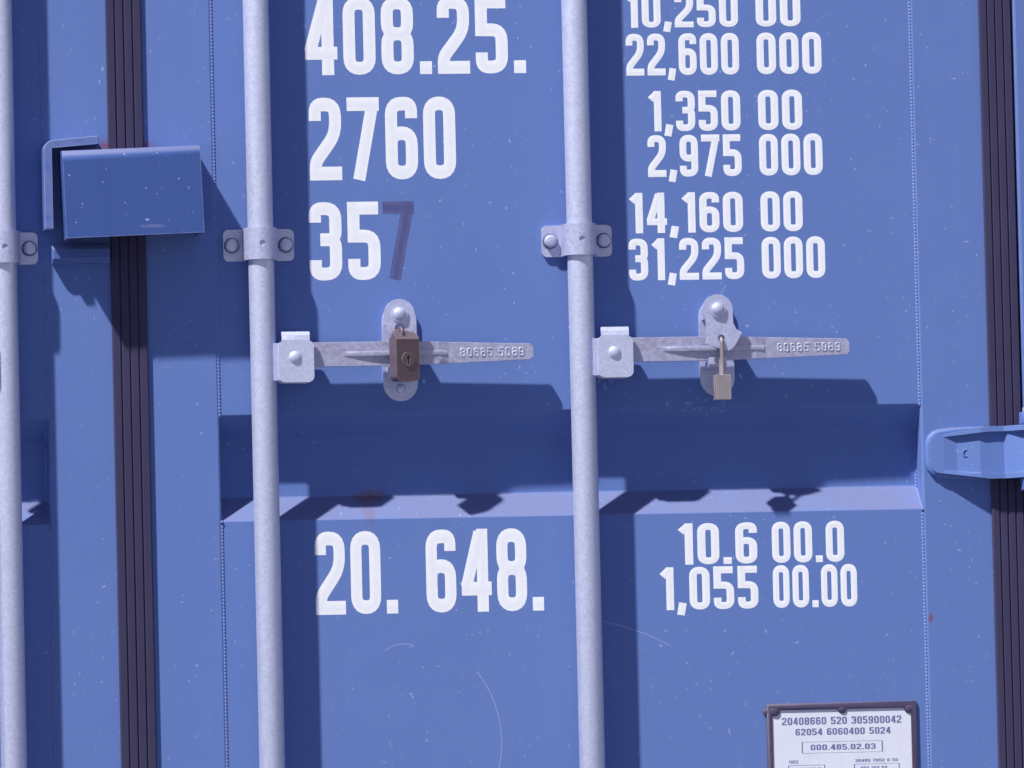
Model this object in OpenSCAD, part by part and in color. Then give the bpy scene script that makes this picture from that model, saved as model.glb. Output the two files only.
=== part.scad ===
/* [Container end] */
// Overall width of the end, over the corner castings
end_w = 2438; // [2300:1:2600]
// Overall height of the end, ground to top of the castings
end_h = 2591; // [2438:1:2896]
// Depth from the outermost plane back to the outer face of the doors
face_y = 72; // [70:1:80]
// Depth from the outermost plane back to the rear of the frame
frame_back_y = 215; // [208:1:240]

/* [Corner castings] */
// Height of a casting
casting_h = 118; // [110:1:125]
// Width of a casting, across the container
casting_w = 162; // [155:1:170]
// Depth of a casting, along the container
casting_d = 178; // [174:1:185]
// Thickness of the casting walls
casting_wall = 16; // [12:1:20]
// Width of the locking slot in the top and bottom of a casting
slot_w = 63.5; // [55:0.5:68]
// Length of that slot
slot_l = 124.5; // [110:0.5:130]

/* [End frame] */
// Width of the wing of a corner post, beside the door leaf
post_wing_w = 24; // [20:1:30]
// How far a corner post reaches in towards the opening
post_stop_w = 49; // [45:1:60]
// Steel thickness of the corner posts
post_t = 6; // [4:0.5:8]
// Steel thickness of the header and the sill
beam_t = 4.5; // [3:0.5:8]
// Height of the underside of the sill above the ground
sill_z = 10; // [8:1:14]
// Height of the sill above its own underside
sill_h = 142; // [130:1:146]
// Height of the header
header_h = 143; // [130:1:160]
// Clear height left between the header and the top of the castings
header_drop = 5; // [4:1:12]
// Gap between a leaf and the header or sill
leaf_gap_z = 13; // [10:1:18]
// How far the header and sill faces lie behind the door face
beam_setback = 12; // [10:1:16]
// Depth of the header and the sill
beam_d = 116; // [100:1:125]

/* [Door leaf] */
// Gap between the two leaves
centre_gap = 26; // [22:1:30]
// Gap between a leaf and the wing of its corner post
leaf_gap_x = 39; // [34:1:44]
// Thickness of a door leaf
leaf_t = 50; // [48:1:54]
// Width of the upright tubes at both edges of a leaf
stile_w = 100; // [90:1:110]
// Wall thickness of the leaf's tubes
tube_t = 3.2; // [2.5:0.1:5]
// Height of the top and bottom rails of a leaf
rail_h = 150; // [120:1:170]
// Thickness of the corrugated door sheet
sheet_t = 2; // [1.6:0.1:3]
// How far the sheet lies behind the face of the uprights
sheet_setback = 2; // [1:0.5:4]
// Overall height of one recess pressed into the sheet
recess_h = 140; // [120:1:160]
// Height of the flat at the back of a recess
recess_flat = 76; // [60:1:90]
// Depth of a recess
recess_d = 38; // [30:1:42]
// Distance between the centres of the two recesses
recess_pitch = 760; // [700:1:800]

/* [Hinges] */
// Distance of a hinge pin from the side of the container
pin_inset = 18; // [18:0.5:20]
// Distance of a hinge pin from the outermost plane
pin_y = 24; // [20:0.5:26]
// Radius of a hinge pin
pin_r = 12; // [9:0.5:13]
// Height of a hinge blade at its knuckle
blade_h = 70; // [60:1:80]
// Height of a hinge blade at its tip on the leaf
blade_tip_h = 52; // [44:1:58]
// Width of the rib along each edge of a hinge blade
blade_rib = 7; // [5:0.5:10]
// How far those ribs stand out from the web between them
rib_stand = 6; // [4:0.5:8]
// How far the ribs of a blade stand out from the door face
blade_stand = 25; // [20:1:25]
// Distance from the edge of the leaf back to the tip of the blade
blade_reach = 90; // [80:1:110]
// Thickness of one hinge lug
lug_t = 16; // [12:1:20]
// Distance between the two middle hinges
hinge_pitch = 755; // [700:1:800]
// Distance from the end of a leaf to its first hinge
hinge_inset = 75; // [60:1:100]

/* [Locking bars] */
// Radius of a locking bar
bar_r = 17; // [15:0.5:18]
// Wall thickness of a locking bar
bar_wall = 3.2; // [2.5:0.1:5]
// Distance from the door face out to the axis of a bar
bar_stand = 28; // [26:0.5:30]
// Distance of the inner bars from the middle of the container
inner_bar_x = 170; // [160:1:200]
// Distance of the outer bars from the middle of the container
outer_bar_x = 596; // [560:1:640]
// Thickness of a cam
cam_t = 24; // [20:1:28]
// Distance of the middle bar brackets below the middle of the leaves
bracket_drop = 85.5; // [70:0.5:100]
// Height of a bar bracket
bracket_h = 42; // [36:1:50]
// Width of a bar bracket over its two ears
bracket_w = 94; // [88:1:104]
// Thickness of the bracket steel
bracket_t = 4; // [3:0.5:5]

/* [Handles] */
// Distance of the handle rivets below the middle of the leaves
handle_drop = 237; // [225:1:245]
// Distance from the bar axis to the handle rivet
rivet_x = 40; // [38:1:46]
// Distance from the bar axis to the end of a handle
handle_reach = 360; // [330:1:380]
// Height of a handle where it leaves the hub
handle_root_h = 32; // [28:1:34]
// Height of a handle at its end
handle_tip_h = 21; // [18:1:24]
// Thickness of a handle
handle_t = 12; // [10:1:14]
// Distance from the bar axis to the middle of the handle catch
catch_x = 185; // [170:1:200]
// Width of a catch plate
catch_w = 46; // [44:1:54]
// Height of a catch plate
catch_h = 129; // [124:1:140]

/* [Seals and fittings] */
// How far the seal stands out from the door face
seal_proud = 6; // [4:0.5:7]
// Width of the seal lip that lies on a leaf's own face
seal_lip = 7; // [6:0.5:9]
// Overlap of the right leaf's centre seal on the left leaf
seal_overlap = 14; // [12:0.5:16]
// Distance of the underside of the lock box below the middle of the leaves
hood_drop = 74.5; // [60:0.5:90]
// Width of the lock box hood
hood_w = 182; // [170:1:190]
// Height of the lock box hood
hood_h = 116; // [110:1:125]
// Lean of the lock box in degrees, as it was welded on a little askew
hood_lean = 1.7; // [0:0.1:2]
// How far the hood stands out from the door face
hood_stand = 66; // [60:1:68]
// Thickness of the lock box plate
hood_t = 5; // [4:0.5:7]
// Width of the data plate
plate_w = 202; // [190:1:210]
// Height of the data plate
plate_h = 230; // [220:1:240]
// Distance from the bottom of the leaf up to the top of the data plate
plate_top = 425; // [400:1:480]
// Distance from the hinge side's upright to the data plate
plate_inset = 17; // [10:1:60]

/* [Hidden] */

// Small sizes and clearances
touch = 0.3;          // gap between a soft seal and the steel it lies against
fit = 0.1;            // gap round a pin held in its seat
running = 0.25;       // gap round a pin that turns
knuckle_gap = 1;      // gap above and below a knuckle
eps = 1;              // overshoot of a cut
round_fn = 48;
bar_inset = 2;        // a bar ends this far inside its cams, for the weld
cam_inset = 50;       // middle of a cam, from the edge of the header or sill
end_bracket_inset = 95; // middle of the outer brackets, from the leaf's ends

// Planes and heights that follow from the driving dimensions
half_w = end_w / 2;
post_edge = half_w - post_stop_w;          // inner edge of the opening
rebate_x = half_w - post_wing_w;           // wall beside the leaf
leaf_x0 = centre_gap / 2;                  // meeting edge of a leaf
leaf_x1 = rebate_x - leaf_gap_x;           // hinge edge of a leaf
leaf_w = leaf_x1 - leaf_x0;
beam_y = face_y + beam_setback;
sill_top = sill_z + sill_h;
leaf_z0 = sill_top + leaf_gap_z;
header_top = end_h - header_drop;
header_z = header_top - header_h;
leaf_z1 = header_z - leaf_gap_z;
leaf_h = leaf_z1 - leaf_z0;
mid_z = (leaf_z0 + leaf_z1) / 2;
leaf_back_y = face_y + leaf_t;
stop_y = leaf_back_y + 15;                 // where the post steps in behind the leaf
bar_y = face_y - bar_stand;
pin_x = half_w - pin_inset;
hinge_zs = [leaf_z0 + hinge_inset, mid_z - hinge_pitch / 2, mid_z + hinge_pitch / 2,
    leaf_z1 - hinge_inset];
mid_bracket_z = mid_z - bracket_drop;
handle_z = mid_z - handle_drop;
bar_xs = [inner_bar_x, outer_bar_x];
cam_mid_low = sill_top - cam_inset;
cam_mid_high = header_z + cam_inset;
bar_z0 = cam_mid_low - cam_t / 2 + bar_inset;
bar_z1 = cam_mid_high + cam_t / 2 - bar_inset;
bracket_zs = [leaf_z0 + end_bracket_inset, mid_bracket_z, leaf_z1 - end_bracket_inset];
mount_y = beam_y + beam_d;                 // back face of the sill
mount_z = sill_z + sill_h / 2;

// Shared placing

// Moves the ground-based drawing so that the sill's back face holds the origin
module to_frame() { translate([0, -mount_y, -mount_z]) children(); }

// Draws a right-hand piece for side 1, or its mirror image for side -1
module on_side(side) {
    if (side < 0) mirror([1, 0, 0]) children();
    else children();
}

// An outline drawn in X and Z, given a thickness out of the door from y0 to y1
module upright(y0, y1) {
    translate([0, y1, 0]) rotate([90, 0, 0]) linear_extrude(y1 - y0) children();
}

// A rectangle with round corners, from the low corner
module soft_square(size, r) {
    hull() for (x = [r, size[0] - r], z = [r, size[1] - r]) translate([x, z]) circle(r, $fn = 24);
}

module stadium(w, h) {
    union() {
        for (s = [-1, 1]) translate([0, s * (h - w) / 2]) circle(w / 2, $fn = round_fn);
        square([w, h - w], center = true);
    }
}

// A low dome on the origin, facing out of the door
module dome(r, h) {
    ball = (r * r + h * h) / (2 * h);
    intersection() {
        translate([0, ball - h, 0]) sphere(ball, $fn = round_fn);
        translate([0, -h - eps, 0]) rotate([-90, 0, 0]) cylinder(h = h + 2 * eps, r = r, $fn = round_fn);
    }
}

// End frame

module corner_post(side) {
    outline = [[rebate_x, face_y - 10], [half_w, face_y - 10], [half_w, frame_back_y],
        [post_edge, frame_back_y], [post_edge, stop_y], [rebate_x, stop_y]];
    hollow = [[rebate_x + post_t, face_y - 10 + post_t], [half_w - post_t, face_y - 10 + post_t],
        [half_w - post_t, frame_back_y - post_t], [post_edge + post_t, frame_back_y - post_t],
        [post_edge + post_t, stop_y + post_t], [rebate_x + post_t, stop_y + post_t]];
    to_frame() on_side(side) color("royalblue")
        translate([0, 0, casting_h]) linear_extrude(end_h - 2 * casting_h) difference() {
            polygon(outline);
            polygon(hollow);
        }
}

// Box beam between two castings, and a strip at each end that fills the height left beside the casting
module beam(z0, z1, strip_z0, strip_z1) {
    between = half_w - casting_w;
    difference() {
        translate([-between, beam_y, z0]) cube([2 * between, beam_d, z1 - z0]);
        translate([-between + beam_t, beam_y + beam_t, z0 + beam_t])
            cube([2 * (between - beam_t), beam_d - 2 * beam_t, z1 - z0 - 2 * beam_t]);
    }
    for (side = [-1, 1]) on_side(side) translate([between + fit, beam_y, strip_z0])
        cube([post_edge - between - fit, beam_d, strip_z1 - strip_z0]);
}

module door_header() {
    to_frame() color("royalblue") beam(header_z, header_top, header_z, end_h - casting_h);
}

module door_sill() {
    to_frame() color("royalblue") beam(sill_z, sill_top, casting_h, sill_top);
}

// A hollow casting with a locking slot below or above and an opening in each outer side
module casting(side, top) {
    z0 = top ? end_h - casting_h : 0;
    slot_z = top ? casting_h - 2 * casting_wall : -eps;
    to_frame() on_side(side) color("navy") translate([half_w - casting_w, 0, z0]) difference() {
        cube([casting_w, casting_d, casting_h]);
        translate([casting_wall, casting_wall, casting_wall])
            cube([casting_w - 2 * casting_wall, casting_d - 2 * casting_wall, casting_h - 2 * casting_wall]);
        // locking slot
        translate([casting_w / 2, casting_d / 2, slot_z]) linear_extrude(2 * casting_wall + eps)
            stadium(slot_w, slot_l);
        // side opening
        translate([casting_w - 2 * casting_wall, casting_d / 2, casting_h / 2])
            rotate([90, 0, 90]) linear_extrude(2 * casting_wall + eps) rotate(90) stadium(51, 79.5);
        // end opening
        translate([casting_w / 2, 2 * casting_wall, casting_h / 2])
            rotate([90, 0, 0]) linear_extrude(2 * casting_wall + eps) rotate(90) stadium(51, 63.5);
    }
}

// Two lugs above and below each knuckle
module hinge_lugs(side) {
    lug_r = pin_inset;
    to_frame() on_side(side) color("royalblue")
        for (z = hinge_zs, s = [0, 1])
            translate([0, 0, z + (s == 1 ? blade_h / 2 + knuckle_gap : -blade_h / 2 - knuckle_gap - lug_t)])
                difference() {
                    union() {
                        translate([pin_x, pin_y, 0]) cylinder(h = lug_t, r = lug_r, $fn = round_fn);
                        linear_extrude(lug_t) polygon([[pin_x - lug_r, pin_y], [half_w, pin_y],
                            [half_w, face_y - 10], [rebate_x, face_y - 10], [pin_x - lug_r, pin_y + 14]]);
                    }
                    translate([pin_x, pin_y, -eps])
                        cylinder(h = lug_t + 2 * eps, r = pin_r + fit, $fn = round_fn);
                }
}

module hinge_pins(side) {
    reach = blade_h / 2 + knuckle_gap + lug_t;
    to_frame() on_side(side) color("silver") for (z = hinge_zs) translate([pin_x, pin_y, z]) {
        translate([0, 0, -reach - 6]) cylinder(h = 2 * reach + 6, r = pin_r, $fn = round_fn);
        translate([0, 0, reach + fit]) cylinder(h = 6, r = pin_r + 4, $fn = round_fn);
        translate([0, 0, reach - eps]) cylinder(h = 2 * eps, r = pin_r, $fn = round_fn);
    }
}

// Cam and keeper share these sizes: the hook of the cam runs round the ear of the keeper
ear_x = bar_r + 10;
ear_r = 5.5;
hook_r0 = ear_x + 8;
hook_r1 = hook_r0 + 8;
shelf_t = 10;
keeper_plate_t = 8;

// A keeper holds its ear on a shelf and has a stop for the cam's arm; up is 1 where the shelf lies above
// the cam. Its back plate has round corners and two bolts.
module keeper(up) {
    gap = 5;
    plate_y = beam_y - bar_y - keeper_plate_t;
    back_w = 92;
    back_h = 62;
    shelf_x = bar_r + 3;
    shelf_w = 24;
    shelf_out = 12;                          // reach of the shelf past the bar axis
    shelf_z = up > 0 ? cam_t / 2 + gap : -cam_t / 2 - gap - shelf_t;
    upright(plate_y, plate_y + keeper_plate_t)
        translate([-41, -back_h / 2 + up]) soft_square([back_w, back_h], 6);
    // shelf with a sloping end
    translate([0, 0, shelf_z]) linear_extrude(shelf_t) polygon([[shelf_x, -shelf_out + 6],
        [shelf_x + 6, -shelf_out], [shelf_x + shelf_w - 6, -shelf_out], [shelf_x + shelf_w, -shelf_out + 6],
        [shelf_x + shelf_w, plate_y + eps], [shelf_x, plate_y + eps]]);
    translate([ear_x, 2, up > 0 ? -cam_t / 2 : shelf_z])
        cylinder(h = cam_t + gap + shelf_t, r = ear_r, $fn = round_fn);
    translate([0, 0, -12]) linear_extrude(24) polygon([[-38, plate_y + eps], [-38, 14], [-34, 8], [-28, 8],
        [-28, plate_y + eps]]);
    for (z = [-1, 1]) translate([-12, plate_y - 5, up + z * 22]) rotate([-90, 0, 0])
        cylinder(h = 6, r = 6.5, $fn = 24);
}

module keepers(z, up) {
    to_frame() color("silver") for (side = [-1, 1], x = bar_xs)
        on_side(side) translate([x, bar_y, z]) keeper(up);
}

// Door leaf

module door_stiles(side) {
    to_frame() on_side(side) color("royalblue") for (x = [leaf_x0, leaf_x1 - stile_w])
        translate([x, face_y, leaf_z0]) difference() {
            cube([stile_w, leaf_t, leaf_h]);
            translate([tube_t, tube_t, tube_t])
                cube([stile_w - 2 * tube_t, leaf_t - 2 * tube_t, leaf_h - 2 * tube_t]);
        }
}

// Pressed channels, open to the inside of the container
module door_rails(side) {
    w = leaf_w - 2 * stile_w;
    to_frame() on_side(side) color("royalblue") for (z = [leaf_z0, leaf_z1 - rail_h])
        translate([leaf_x0 + stile_w, face_y, z]) difference() {
            cube([w, leaf_t, rail_h]);
            translate([-eps, tube_t, tube_t]) cube([w + 2 * eps, leaf_t, rail_h - 2 * tube_t]);
        }
}

// Height along the leaf and depth behind the flats, as a line that the sheet follows
function recess_line(z) = let (a = recess_h / 2, b = recess_flat / 2)
    [[z - a, 0], [z - b, recess_d], [z + b, recess_d], [z + a, 0]];

module door_sheet(side) {
    z0 = leaf_z0 + rail_h;
    z1 = leaf_z1 - rail_h;
    zs = [mid_z - recess_pitch / 2, mid_z + recess_pitch / 2];
    line = concat([[z0, 0]], recess_line(zs[0]), recess_line(zs[1]), [[z1, 0]]);
    front = [for (p = line) [face_y + sheet_setback + p[1], p[0]]];
    back = [for (i = [len(line) - 1:-1:0]) [face_y + sheet_setback + sheet_t + line[i][1], line[i][0]]];
    to_frame() on_side(side) color("royalblue")
        translate([leaf_x0 + stile_w, 0, 0]) rotate([90, 0, 90])
            linear_extrude(leaf_w - 2 * stile_w) polygon(concat(front, back));
}

// Seal profile beside the edge of a leaf: u runs outwards from the edge, v runs back from the door face.
// The outer lip is own + over wide and has two grooves; the soft body behind it fills the gap.
groove_d = 2.6;
groove_w = 1.6;
function groove(u) = [[u - groove_w, -seal_proud], [u, -seal_proud + groove_d], [u + groove_w, -seal_proud]];
function seal_outline(own, over, body) = let (w = own + over) concat(
    [[-own, -touch], [-own, -seal_proud + 1.5], [-own + 1.5, -seal_proud]],
    groove(-own + w * 0.25), groove(-own + w * 0.5), groove(-own + w * 0.75),
    [[over - 1.5, -seal_proud], [over, -seal_proud + 1.5], [over, -touch], [body, -touch], [body, 20],
    [body * 0.75, leaf_t], [body, leaf_t + 12], [body * 0.6, leaf_t + 14], [touch, leaf_t - 4],
    [touch, -touch]]);

// Plain filling strip for the meeting edge of the left leaf
function fill_outline(body) = [[touch, 1], [body, 1], [body, leaf_t - 4], [touch, leaf_t - 4]];

module door_seal(side) {
    over_hinge = leaf_gap_x - 2.5;
    body_hinge = leaf_gap_x - 4;
    body_meet = centre_gap / 2 - 1;
    end_x0 = leaf_x0 + (side > 0 ? -1 : seal_overlap + 1);
    to_frame() on_side(side) color("dimgray") {
        // hinge edge
        translate([leaf_x1, face_y, leaf_z0 - 6]) linear_extrude(leaf_h + 12)
            polygon(seal_outline(seal_lip, over_hinge, body_hinge));
        // meeting edge
        translate([leaf_x0, face_y, leaf_z0 - 6]) mirror([1, 0, 0]) linear_extrude(leaf_h + 12)
            if (side > 0) polygon(seal_outline(seal_lip, centre_gap + seal_overlap, body_meet));
            else polygon(fill_outline(body_meet));
        // top and bottom edges; on the left leaf they stop beside the lip that laps over it
        for (s = [0, 1])
            translate([end_x0, face_y, s == 0 ? leaf_z0 : leaf_z1])
                mirror([0, 0, 1 - s]) rotate([0, -90, 0]) mirror([0, 0, 1])
                    linear_extrude(leaf_x1 + over_hinge - eps - end_x0) polygon(end_seal_outline());
    }
}

// Profile along the top and bottom edges, drawn with its first axis running away from the leaf
function end_seal_outline() = [[touch, -touch], [touch, leaf_t - 4], [leaf_gap_z - 4, leaf_t - 2],
    [leaf_gap_z - 4, -seal_proud + 1], [leaf_gap_z - 5, -seal_proud], [-seal_lip + 1.5, -seal_proud],
    [-seal_lip, -seal_proud + 1.5], [-seal_lip, -touch]];

// Hinge blade: the plan gives its crank from the leaf out to the pin and the front gives its flare. A
// pocket leaves a web with a rib along each edge; the ribs fade out towards the tip.
module hinge_blade() {
    x0 = leaf_x1 - blade_reach;
    lift_x = leaf_x1 - 24;                   // where the blade stands out by its full height
    turn_x = pin_x - (face_y - 10 - pin_y);  // the open leaf clears the post as far as here
    full_x = leaf_x1 - 13;                   // where it reaches its full height
    tip_y = face_y - 8;
    top_y = face_y - blade_stand;
    knuckle_r = pin_inset - 1;
    nose_r = 14;
    fade = 18;                               // length of the tip without ribs
    module front(inset, start) {
        tip = blade_tip_h / 2 - inset;
        full = blade_h / 2 - inset;
        union() {
            polygon([[start, nose_r - tip], [start + nose_r, -tip], [full_x, -full], [pin_x, -full],
                [pin_x, full], [full_x, full], [start + nose_r, tip], [start, tip - nose_r]]);
            for (s = [-1, 1]) translate([start + nose_r, s * (tip - nose_r)]) circle(nose_r, $fn = round_fn);
        }
    }
    plan = [[x0, face_y], [x0, tip_y], [x0 + fade, tip_y - 2], [x0 + 2 * fade, top_y + 9],
        [lift_x, top_y], [turn_x, top_y], [turn_x + 3.6, top_y - 1.4], [turn_x + 5, top_y - 5],
        [pin_x - 22, pin_y - 4], [pin_x - 6, pin_y - knuckle_r + 1], [pin_x, pin_y],
        [pin_x - 2, pin_y + 15], [rebate_x - 8, face_y - 22], [rebate_x - 15, face_y - 13],
        [leaf_x1 - 8, face_y - seal_proud - 2], [x0 + 30, face_y]];
    plan_pocket = [[x0 - eps, tip_y], [x0 + fade, tip_y - 2], [x0 + 2 * fade, top_y + 9 + rib_stand],
        [lift_x, top_y + rib_stand], [turn_x + 2, top_y + rib_stand], [turn_x + 12, pin_y + 14],
        [pin_x - knuckle_r + 2, pin_y],
        [pin_x - knuckle_r, -20], [x0 - eps, -20]];
    translate([0, 0, -blade_h / 2]) difference() {
        union() {
            intersection() {
                linear_extrude(blade_h) polygon(plan);
                translate([0, 0, blade_h / 2]) upright(-20, leaf_back_y) front(0, x0);
            }
            translate([pin_x, pin_y, 0]) cylinder(h = blade_h, r = knuckle_r, $fn = round_fn);
        }
        intersection() {
            translate([0, 0, -eps]) linear_extrude(blade_h + 2 * eps) polygon(plan_pocket);
            translate([0, 0, blade_h / 2]) upright(-40, leaf_back_y) front(blade_rib, x0 - 2 * nose_r);
        }
        translate([pin_x, pin_y, -eps])
            cylinder(h = blade_h + 2 * eps, r = pin_r + running, $fn = round_fn);
    }
}

module hinge_blades(side) {
    to_frame() on_side(side) color("royalblue") for (z = hinge_zs) translate([0, 0, z]) hinge_blade();
}

// Saddle bracket over a locking bar, with its two bolts; back is how far its seat lies behind the door face
module bar_bracket(back) {
    r_in = bar_r + 1;
    r_out = r_in + bracket_t;
    bolt_x = 36;
    axis = bar_stand + back;
    difference() {
        intersection() {
            translate([0, 0, -bracket_h / 2]) linear_extrude(bracket_h) difference() {
                union() {
                    translate([-bracket_w / 2, -5]) square([bracket_w, 5]);
                    translate([0, -axis]) circle(r_out, $fn = round_fn);
                    translate([-r_out, -axis]) square([2 * r_out, axis]);
                }
                translate([0, -axis]) circle(r_in, $fn = round_fn);
                translate([-r_in, -axis]) square([2 * r_in, axis + eps]);
            }
            translate([-bracket_w / 2, 0, -bracket_h / 2]) upright(-70, 1)
                soft_square([bracket_w, bracket_h], 7);
        }
        translate([0, -axis - r_out - eps, 0]) rotate([-90, 0, 0]) cylinder(h = eps + 2, r = 4, $fn = 24);
    }
    for (s = [-1, 1]) translate([s * bolt_x, -12, 0]) rotate([-90, 0, 0]) cylinder(h = 8, r = 8.5, $fn = 24);
}

module bar_brackets(side) {
    to_frame() on_side(side) color("silver") for (x = bar_xs, z = bracket_zs) {
        back = z == mid_bracket_z ? sheet_setback : 0;
        translate([x, face_y + back, z]) bar_bracket(back);
    }
}

// Handles, their hubs and catches
hub_front = 48;       // outer face of a hub, out from the door face
hub_plate = 5;        // thickness of the hub plates
hub_space = 25;       // room between them for the handle
hub_x0 = 18;          // hub edge beside the bar
hub_x1 = 65;          // free edge of the hub
hub_low = 33;         // hub below the rivet
hub_high = 22;        // hub above the rivet
hub_tab_w = 37;       // leaning tab at the top of the hub
rivet_r = 8;
handle_h0 = 20;       // back of the handle, out from the door face
handle_rise = 4;      // handle line above its rivet
handle_line_z = handle_z + handle_rise;
boss_h = 48;          // top of the catch's pivot boss, out from the door face
catch_lift = 2.5;     // middle of the catch above the handle line
catch_pivot = 48;     // pivot above the middle of the catch
pivot_shift = -6;     // and beside it
flap_t = 5;
flap_hole_x = 4;      // hole of a long flap, beside its pivot
flap_hole_z = -38;    // and below it
short_hole_z = -19;   // hole of a short flap

// Two plates that hold the handle, a web beside the bar, and the rivet through both. The front plate
// carries a narrower tab at its top that leans back.
module hub() {
    out = bar_stand - hub_front;             // outer face of the front plate, from the bar axis
    corner_r = 8;
    tab_x = (hub_x0 + hub_x1 - hub_tab_w) / 2;
    module plate() {
        translate([hub_x0, -hub_low]) soft_square([hub_x1 - hub_x0, hub_low + hub_high], corner_r);
    }
    upright(out, out + hub_plate) plate();
    upright(out + hub_plate + hub_space, out + 2 * hub_plate + hub_space) plate();
    translate([tab_x, out, hub_high - 5]) rotate([90, 0, 90]) linear_extrude(hub_tab_w)
        polygon([[0, 0], [0, 6], [1.5, 12], [4, 17], [8.5, 15], [6, 10.5], [hub_plate, 5], [hub_plate, 0]]);
    translate([hub_x0 - 6, out + 2, -hub_low + 3])
        cube([8, 2 * hub_plate + hub_space - 3, hub_low + hub_high - 6]);
    translate([rivet_x, out - 1, 0]) rotate([-90, 0, 0])
        cylinder(h = 2 * hub_plate + hub_space + 3, r = rivet_r, $fn = round_fn);
    translate([rivet_x, out - 1, 0]) dome(rivet_r, 3);
}

module locking_bar(side, x) {
    to_frame() on_side(side) color("silver") translate([x, bar_y, 0]) difference() {
        union() {
            translate([0, 0, bar_z0]) cylinder(h = bar_z1 - bar_z0, r = bar_r, $fn = round_fn);
            translate([0, 0, handle_z]) hub();
        }
        translate([0, 0, bar_z0 - eps])
            cylinder(h = bar_z1 - bar_z0 + 2 * eps, r = bar_r - bar_wall, $fn = round_fn);
    }
}

// Open ring on the bar's end, an arm, and a hook that turns about the bar round the keeper's ear
module cam() {
    ring_r = bar_r + 7;
    linear_extrude(cam_t) difference() {
        union() {
            difference() {
                circle(ring_r, $fn = round_fn);
                // the ear passes here as the bar turns
                polygon([[0, 0], [40, -17], [40, 30], [0, 50], [-27, 40]]);
            }
            rotate(-75) translate([0, -8]) square([hook_r0 + 4, 16]);
            intersection() {
                difference() {
                    circle(hook_r1, $fn = round_fn);
                    circle(hook_r0, $fn = round_fn);
                }
                polygon([[0, 0], [4, -80], [80, -60], [80, 62]]);
            }
        }
        circle(bar_r + fit, $fn = round_fn);
    }
}

module bar_cams(side, x) {
    to_frame() on_side(side) color("silver") for (z = [cam_mid_low, cam_mid_high])
        translate([x, bar_y, z - cam_t / 2]) cam();
}

// A pointed oval of a length and a width, made by two arcs
module pointed_oval(len, wid) {
    r = (len * len + wid * wid) / (4 * wid);
    intersection_for (s = [-1, 1]) translate([0, s * (r - wid / 2)]) circle(r, $fn = 96);
}

// Forged handle: eye in the hub, a bar that tapers to a flat grip, and a thin fin along its front that
// stands out most where the catch holds it
module handle(side, x) {
    step_x = rivet_x + 24;
    grip_x = catch_x + 62;                   // where the bar has thinned to the grip
    grip_t = handle_t - 3;
    eye_r = 15;
    corner = 4;
    tip_h = handle_tip_h / 2;
    root_h = handle_root_h / 2;
    outline = [[rivet_x, -10], [step_x, -root_h], [catch_x, -root_h], [handle_reach - corner, -tip_h],
        [handle_reach, corner - tip_h], [handle_reach, tip_h - corner], [handle_reach - corner, tip_h],
        [catch_x, root_h], [step_x, root_h], [rivet_x, 10]];
    front = handle_h0 + handle_t;
    plan = [[rivet_x, -handle_h0], [handle_reach, -handle_h0], [handle_reach, -handle_h0 - grip_t],
        [grip_x, -handle_h0 - grip_t], [grip_x - 14, -front], [rivet_x, -front]];
    fin_t = 6;
    fin_out = 5;
    fin_x = catch_x - 14;
    fin_len = 2 * (grip_x - fin_x) - 6;
    to_frame() on_side(side) color("silver") translate([x, face_y, handle_line_z]) difference() {
        union() {
            intersection() {
                upright(-front, -handle_h0) polygon(outline);
                translate([0, 0, -handle_root_h]) linear_extrude(2 * handle_root_h) polygon(plan);
            }
            translate([fin_x, -front + 1, -fin_t / 2]) linear_extrude(fin_t)
                pointed_oval(fin_len, 2 * (fin_out + 1));
            translate([rivet_x, -hub_front + hub_plate + knuckle_gap, -handle_rise]) rotate([-90, 0, 0])
                cylinder(h = hub_space - 2 * knuckle_gap, r = eye_r, $fn = round_fn);
        }
        translate([rivet_x, -hub_front, -handle_rise]) rotate([-90, 0, 0])
            cylinder(h = hub_front, r = rivet_r + running, $fn = round_fn);
    }
}

// Catch: plate on the door, a hook that the handle lies in, an ear beside the pivot boss, and a bolt
module handle_catches(side) {
    hook_out = handle_h0 + handle_t + sheet_setback + 3;
    hook_top = -catch_lift - handle_root_h / 2 - 1;
    to_frame() on_side(side) color("silver") for (x = bar_xs)
        translate([x + catch_x, face_y + sheet_setback, handle_line_z + catch_lift]) {
            upright(-6, 0) stadium(catch_w, catch_h);
            translate([pivot_shift, -boss_h - sheet_setback, catch_pivot]) rotate([-90, 0, 0])
                cylinder(h = boss_h + sheet_setback - 5, r = 9, $fn = round_fn);
            // hook under the handle, with a lip in front of it
            translate([-17, 0, hook_top]) rotate([90, 0, 90]) linear_extrude(24)
                polygon([[-5, -12], [-hook_out, -8], [-hook_out - 4, -4], [-hook_out - 4, 5],
                    [-hook_out, 5], [-hook_out, 0], [-5, 0]]);
            // ear beside the boss, and the lower bolt
            translate([3 - catch_w / 2, -22, catch_pivot - 11]) cube([8, 18, 14]);
            translate([0, -7, -catch_pivot]) rotate([-90, 0, 0]) cylinder(h = 2, r = 9, $fn = round_fn);
            translate([0, -7, -catch_pivot]) dome(7, 5);
        }
}

// Places what hangs from the pivot of a catch, in front of its boss
module at_pivot(side, x) {
    pivot_z = handle_line_z + catch_lift + catch_pivot;
    to_frame() on_side(side)
        translate([x + catch_x + pivot_shift, face_y - boss_h - touch - flap_t / 2, pivot_z]) children();
}

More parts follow.
